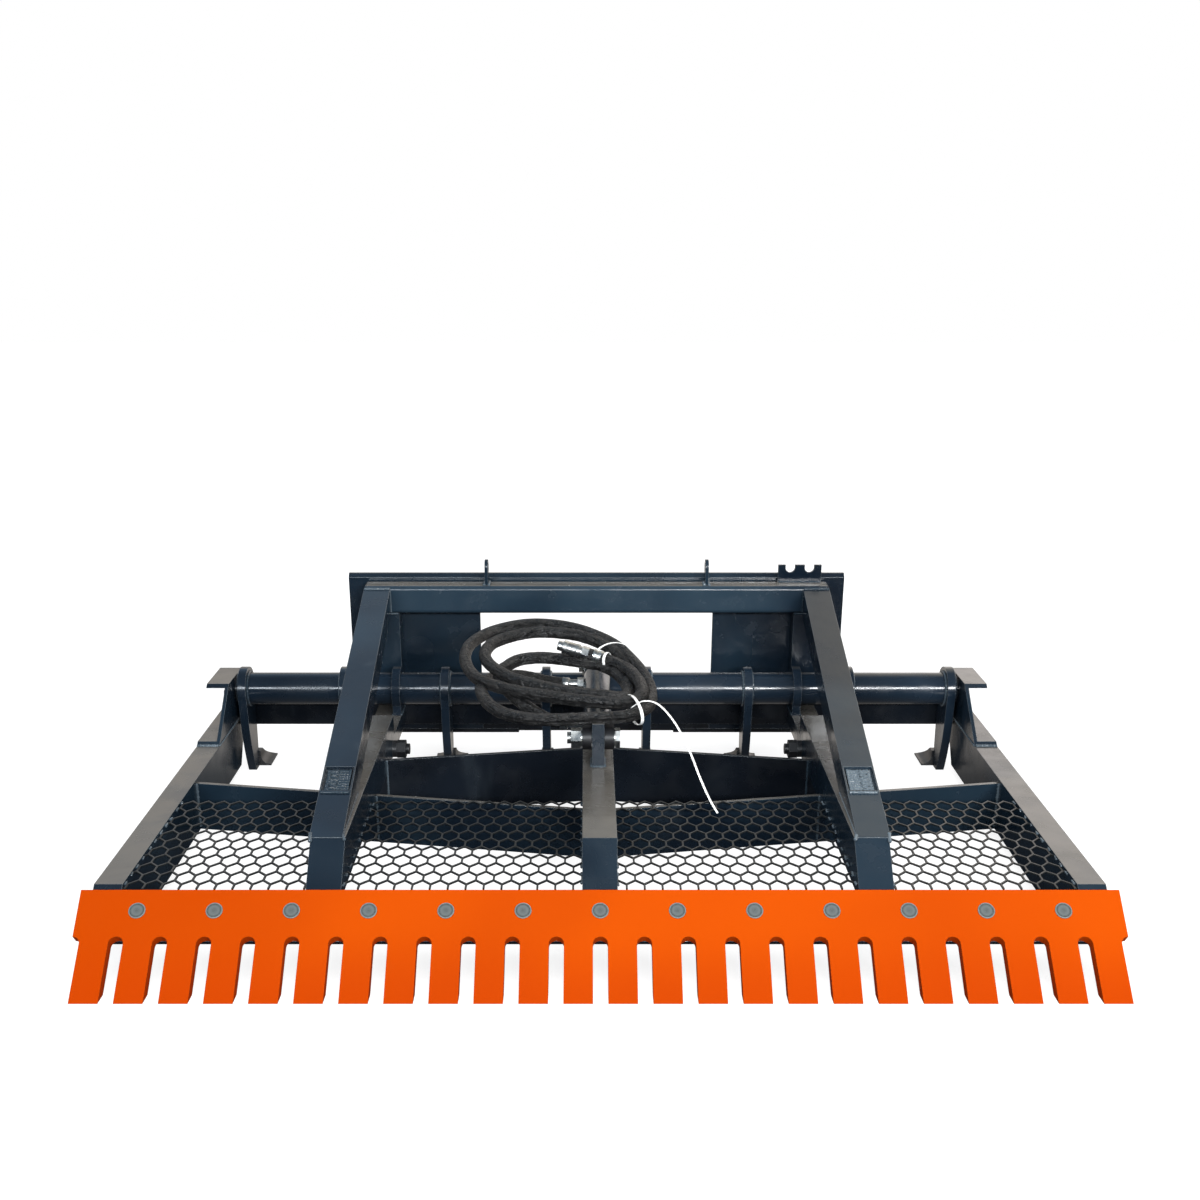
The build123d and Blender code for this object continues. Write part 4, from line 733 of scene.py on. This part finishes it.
def add_centre_beads(beads):
    # the cylinder's clevis on the centre beam
    for x in (-0.0135, 0.0135):
        beads.line((x, -0.029, CLEVIS_Z), (x, 0.021, CLEVIS_Z), 3.6 * MM)
    beads.line((-0.0120, -0.0305, CLEVIS_Z), (0.0120, -0.0305, CLEVIS_Z), 3.6 * MM)
    # the hose comb on the crossbeam
    beads.line((0.430, 0.5635, 0.4420), (0.528, 0.5635, 0.4420), 3.4 * MM)


def add_mesh_tacks(beads):
    """Short tack welds of the mesh along the webs and beams."""
    for x in (-0.8485, -BEAM_OUT_X, -0.4585, -0.033, 0.033, 0.4585, BEAM_OUT_X, 0.8485):
        for i in range(11):
            y = -0.452 + i * MESH_PITCH_Y + rng.uniform(-0.006, 0.006)
            end = (x + rng.uniform(-0.002, 0.002), y + rng.uniform(0.008, 0.016), MESH_Z)
            beads.line((x, y, MESH_Z), end, rng.uniform(2.0, 3.4) * MM)


def add_frame_beads():
    beads = Beads("frame_beads", "frame")
    for side in SIDES:
        add_arm_beads(beads, side)
        add_plate_beads(beads, side)
        add_bracket_beads(beads, side)
        add_hitch_beads(beads, side)
    add_centre_beads(beads)
    add_mesh_tacks(beads)
    beads.done()


add_ripper_beads()
add_frame_beads()


# ---- stage --------------------------------------------------------------
def make_floor():
    size = 14.0
    corners = [(-size, -size, 0), (size, -size, 0), (size, size, 0), (-size, size, 0)]
    mesh = bpy.data.meshes.new("floor")
    mesh.from_pydata(corners, [], [(0, 1, 2, 3)])
    floor = bpy.data.objects.new("floor", mesh)
    bpy.context.scene.collection.objects.link(floor)
    t = Tree("floor")
    path = t.nodes.new("ShaderNodeLightPath")
    # what the camera sees: a white sweep that takes a faint shadow
    catcher = t.nodes.new("ShaderNodeBsdfDiffuse")
    cloud = t.remap(t.noise(1.3, 3.0), 0.3, 0.7)
    t.set(catcher, {"Color": t.mix(cloud, rgb(0.30, 0.30, 0.30), rgb(0.33, 0.33, 0.33))})
    reach = t.nodes.new("ShaderNodeVectorMath")
    reach.operation = "LENGTH"
    t.set(reach, {0: t.position})
    lift = t.nodes.new("ShaderNodeEmission")
    t.set(lift, {"Color": WHITE, "Strength": t.remap(reach.outputs["Value"], 1.2, 2.6, 0.84, 1.0)})
    seen = t.nodes.new("ShaderNodeAddShader")
    t.links.new(catcher.outputs[0], seen.inputs[0])
    t.links.new(lift.outputs[0], seen.inputs[1])
    # what the paint mirrors: dark in front, bright and warm behind
    mirrored = t.ramp(t.split(t.position)["Y"], -0.9, 2.1, (
        (0.0, rgb(0.020, 0.026, 0.034)), (0.36, rgb(0.030, 0.036, 0.046)), (0.45, rgb(0.16, 0.155, 0.15)),
        (0.54, rgb(0.62, 0.58, 0.54)), (1.0, rgb(0.95, 0.90, 0.85)),
    ))
    glow = t.nodes.new("ShaderNodeEmission")
    t.set(glow, {"Color": mirrored, "Strength": 1.0})
    pick = t.nodes.new("ShaderNodeMixShader")
    t.set(pick, {0: path.outputs["Is Camera Ray"]})
    t.links.new(glow.outputs[0], pick.inputs[1])
    t.links.new(seen.outputs[0], pick.inputs[2])
    t.links.new(pick.outputs[0], t.output.inputs["Surface"])
    mesh.materials.append(t.material)


def make_world():
    world = bpy.data.worlds.new("studio")
    bpy.context.scene.world = world
    world.use_nodes = True
    tree = world.node_tree
    tree.nodes.clear()
    out = tree.nodes.new("ShaderNodeOutputWorld")
    background = tree.nodes.new("ShaderNodeBackground")
    coordinate = tree.nodes.new("ShaderNodeTexCoord")
    path = tree.nodes.new("ShaderNodeLightPath")
    sky = Graph(tree)
    direction = sky.split(coordinate.outputs["Generated"])

    # behind the object: bright low down, dimmer overhead
    rear_left = sky.ramp(direction["Z"], 0.0, 1.0, (
        (0.0, rgb(0.70, 0.66, 0.62)), (0.35, rgb(0.85, 0.78, 0.72)), (0.55, rgb(0.50, 0.66, 0.84)),
        (0.80, rgb(0.38, 0.54, 0.74)), (0.93, rgb(0.20, 0.26, 0.33)), (1.0, rgb(0.13, 0.16, 0.20)),
    ))
    rear_middle = sky.ramp(direction["Z"], 0.0, 1.0, (
        (0.0, rgb(0.75, 0.73, 0.70)), (0.36, rgb(0.78, 0.74, 0.68)), (0.55, rgb(0.58, 0.60, 0.60)),
        (0.80, rgb(0.40, 0.46, 0.54)), (0.93, rgb(0.18, 0.22, 0.28)), (1.0, rgb(0.13, 0.16, 0.20)),
    ))
    rear_right = sky.ramp(direction["Z"], 0.0, 1.0, (
        (0.0, rgb(1.35, 1.28, 1.24)), (0.38, rgb(1.75, 1.62, 1.55)), (0.55, rgb(1.20, 1.12, 1.00)),
        (0.80, rgb(1.25, 1.16, 0.95)), (0.93, rgb(0.30, 0.32, 0.34)), (1.0, rgb(0.14, 0.16, 0.19)),
    ))
    to_left = sky.ramp(direction["X"], -0.20, -0.05, ((0.0, WHITE), (1.0, BLACK)))
    to_right = sky.ramp(direction["X"], 0.05, 0.20, ((0.0, BLACK), (1.0, WHITE)))
    rear = sky.mix(to_left, rear_middle, rear_left)
    rear = sky.mix(to_right, rear, rear_right)
    front = sky.ramp(direction["Z"], 0.0, 1.0, (
        (0.0, rgb(0.02, 0.03, 0.045)), (0.30, rgb(0.07, 0.11, 0.16)), (0.60, rgb(0.13, 0.19, 0.26)),
        (1.0, rgb(0.13, 0.16, 0.20)),
    ))
    behind = sky.ramp(direction["Y"], -0.20, 0.30, ((0.0, BLACK), (1.0, WHITE)))
    mirrored = sky.mix(behind, front, rear)
    # matt surfaces are lit by an even pale room
    lit = sky.mix(path.outputs["Is Diffuse Ray"], mirrored, rgb(0.42, 0.43, 0.44))
    seen = sky.mix(path.outputs["Is Camera Ray"], lit, WHITE)
    tree.links.new(seen, background.inputs["Color"])
    background.inputs["Strength"].default_value = 1.0
    tree.links.new(background.outputs[0], out.inputs["Surface"])


def make_area(name, location, target, size_x, size_y, energy, color, mirrored=True):
    data = bpy.data.lights.new(name, "AREA")
    data.shape = "RECTANGLE"
    data.size = size_x
    data.size_y = size_y
    data.energy = energy
    data.color = color
    light = bpy.data.objects.new(name, data)
    bpy.context.scene.collection.objects.link(light)
    light.location = location
    light.rotation_euler = (Vector(target) - Vector(location)).to_track_quat("-Z", "Y").to_euler()
    light.visible_glossy = mirrored


def make_camera():
    data = bpy.data.cameras.new("photo_camera")
    data.lens = 43.5
    data.sensor_width = 36.0
    data.shift_x = 0.0117
    data.shift_y = 0.15
    data.clip_start = 0.05
    data.clip_end = 60.0
    camera = bpy.data.objects.new("photo_camera", data)
    bpy.context.scene.collection.objects.link(camera)
    camera.location = (-0.025, -2.804, 1.230)
    camera.rotation_euler = (math.radians(90 - 20.945), 0, 0)
    bpy.context.scene.camera = camera


make_floor()
make_world()
for name, location, target, size_x, size_y, energy, color in (
    ("overhead_soft", (0.3, -1.0, 3.6), (0, 0.1, 0.1), 4.0, 2.6, 108, (1.0, 0.98, 0.96)),
    ("left_soft", (-3.2, -2.6, 2.6), (0, 0, 0.1), 2.0, 2.0, 28, (0.88, 0.94, 1.0)),
    ("right_soft", (3.4, -1.8, 2.4), (0.3, 0, 0.1), 1.6, 1.6, 38, (1.0, 0.96, 0.92)),
):
    make_area(name, location, target, size_x, size_y, energy, color, mirrored=False)
# long narrow strips far in front make the streaks on the pipe
make_area("far_strip_right", (2.3, -6.5, 2.65), (0.4, 0.3, 0.2), 3.8, 0.34, 520, (0.96, 0.98, 1.0))
make_area("far_strip_left", (-2.0, -6.5, 2.65), (-0.4, 0.3, 0.2), 3.8, 0.60, 230, (0.85, 0.93, 1.0))
make_camera()
bpy.context.scene.view_settings.view_transform = "Standard"
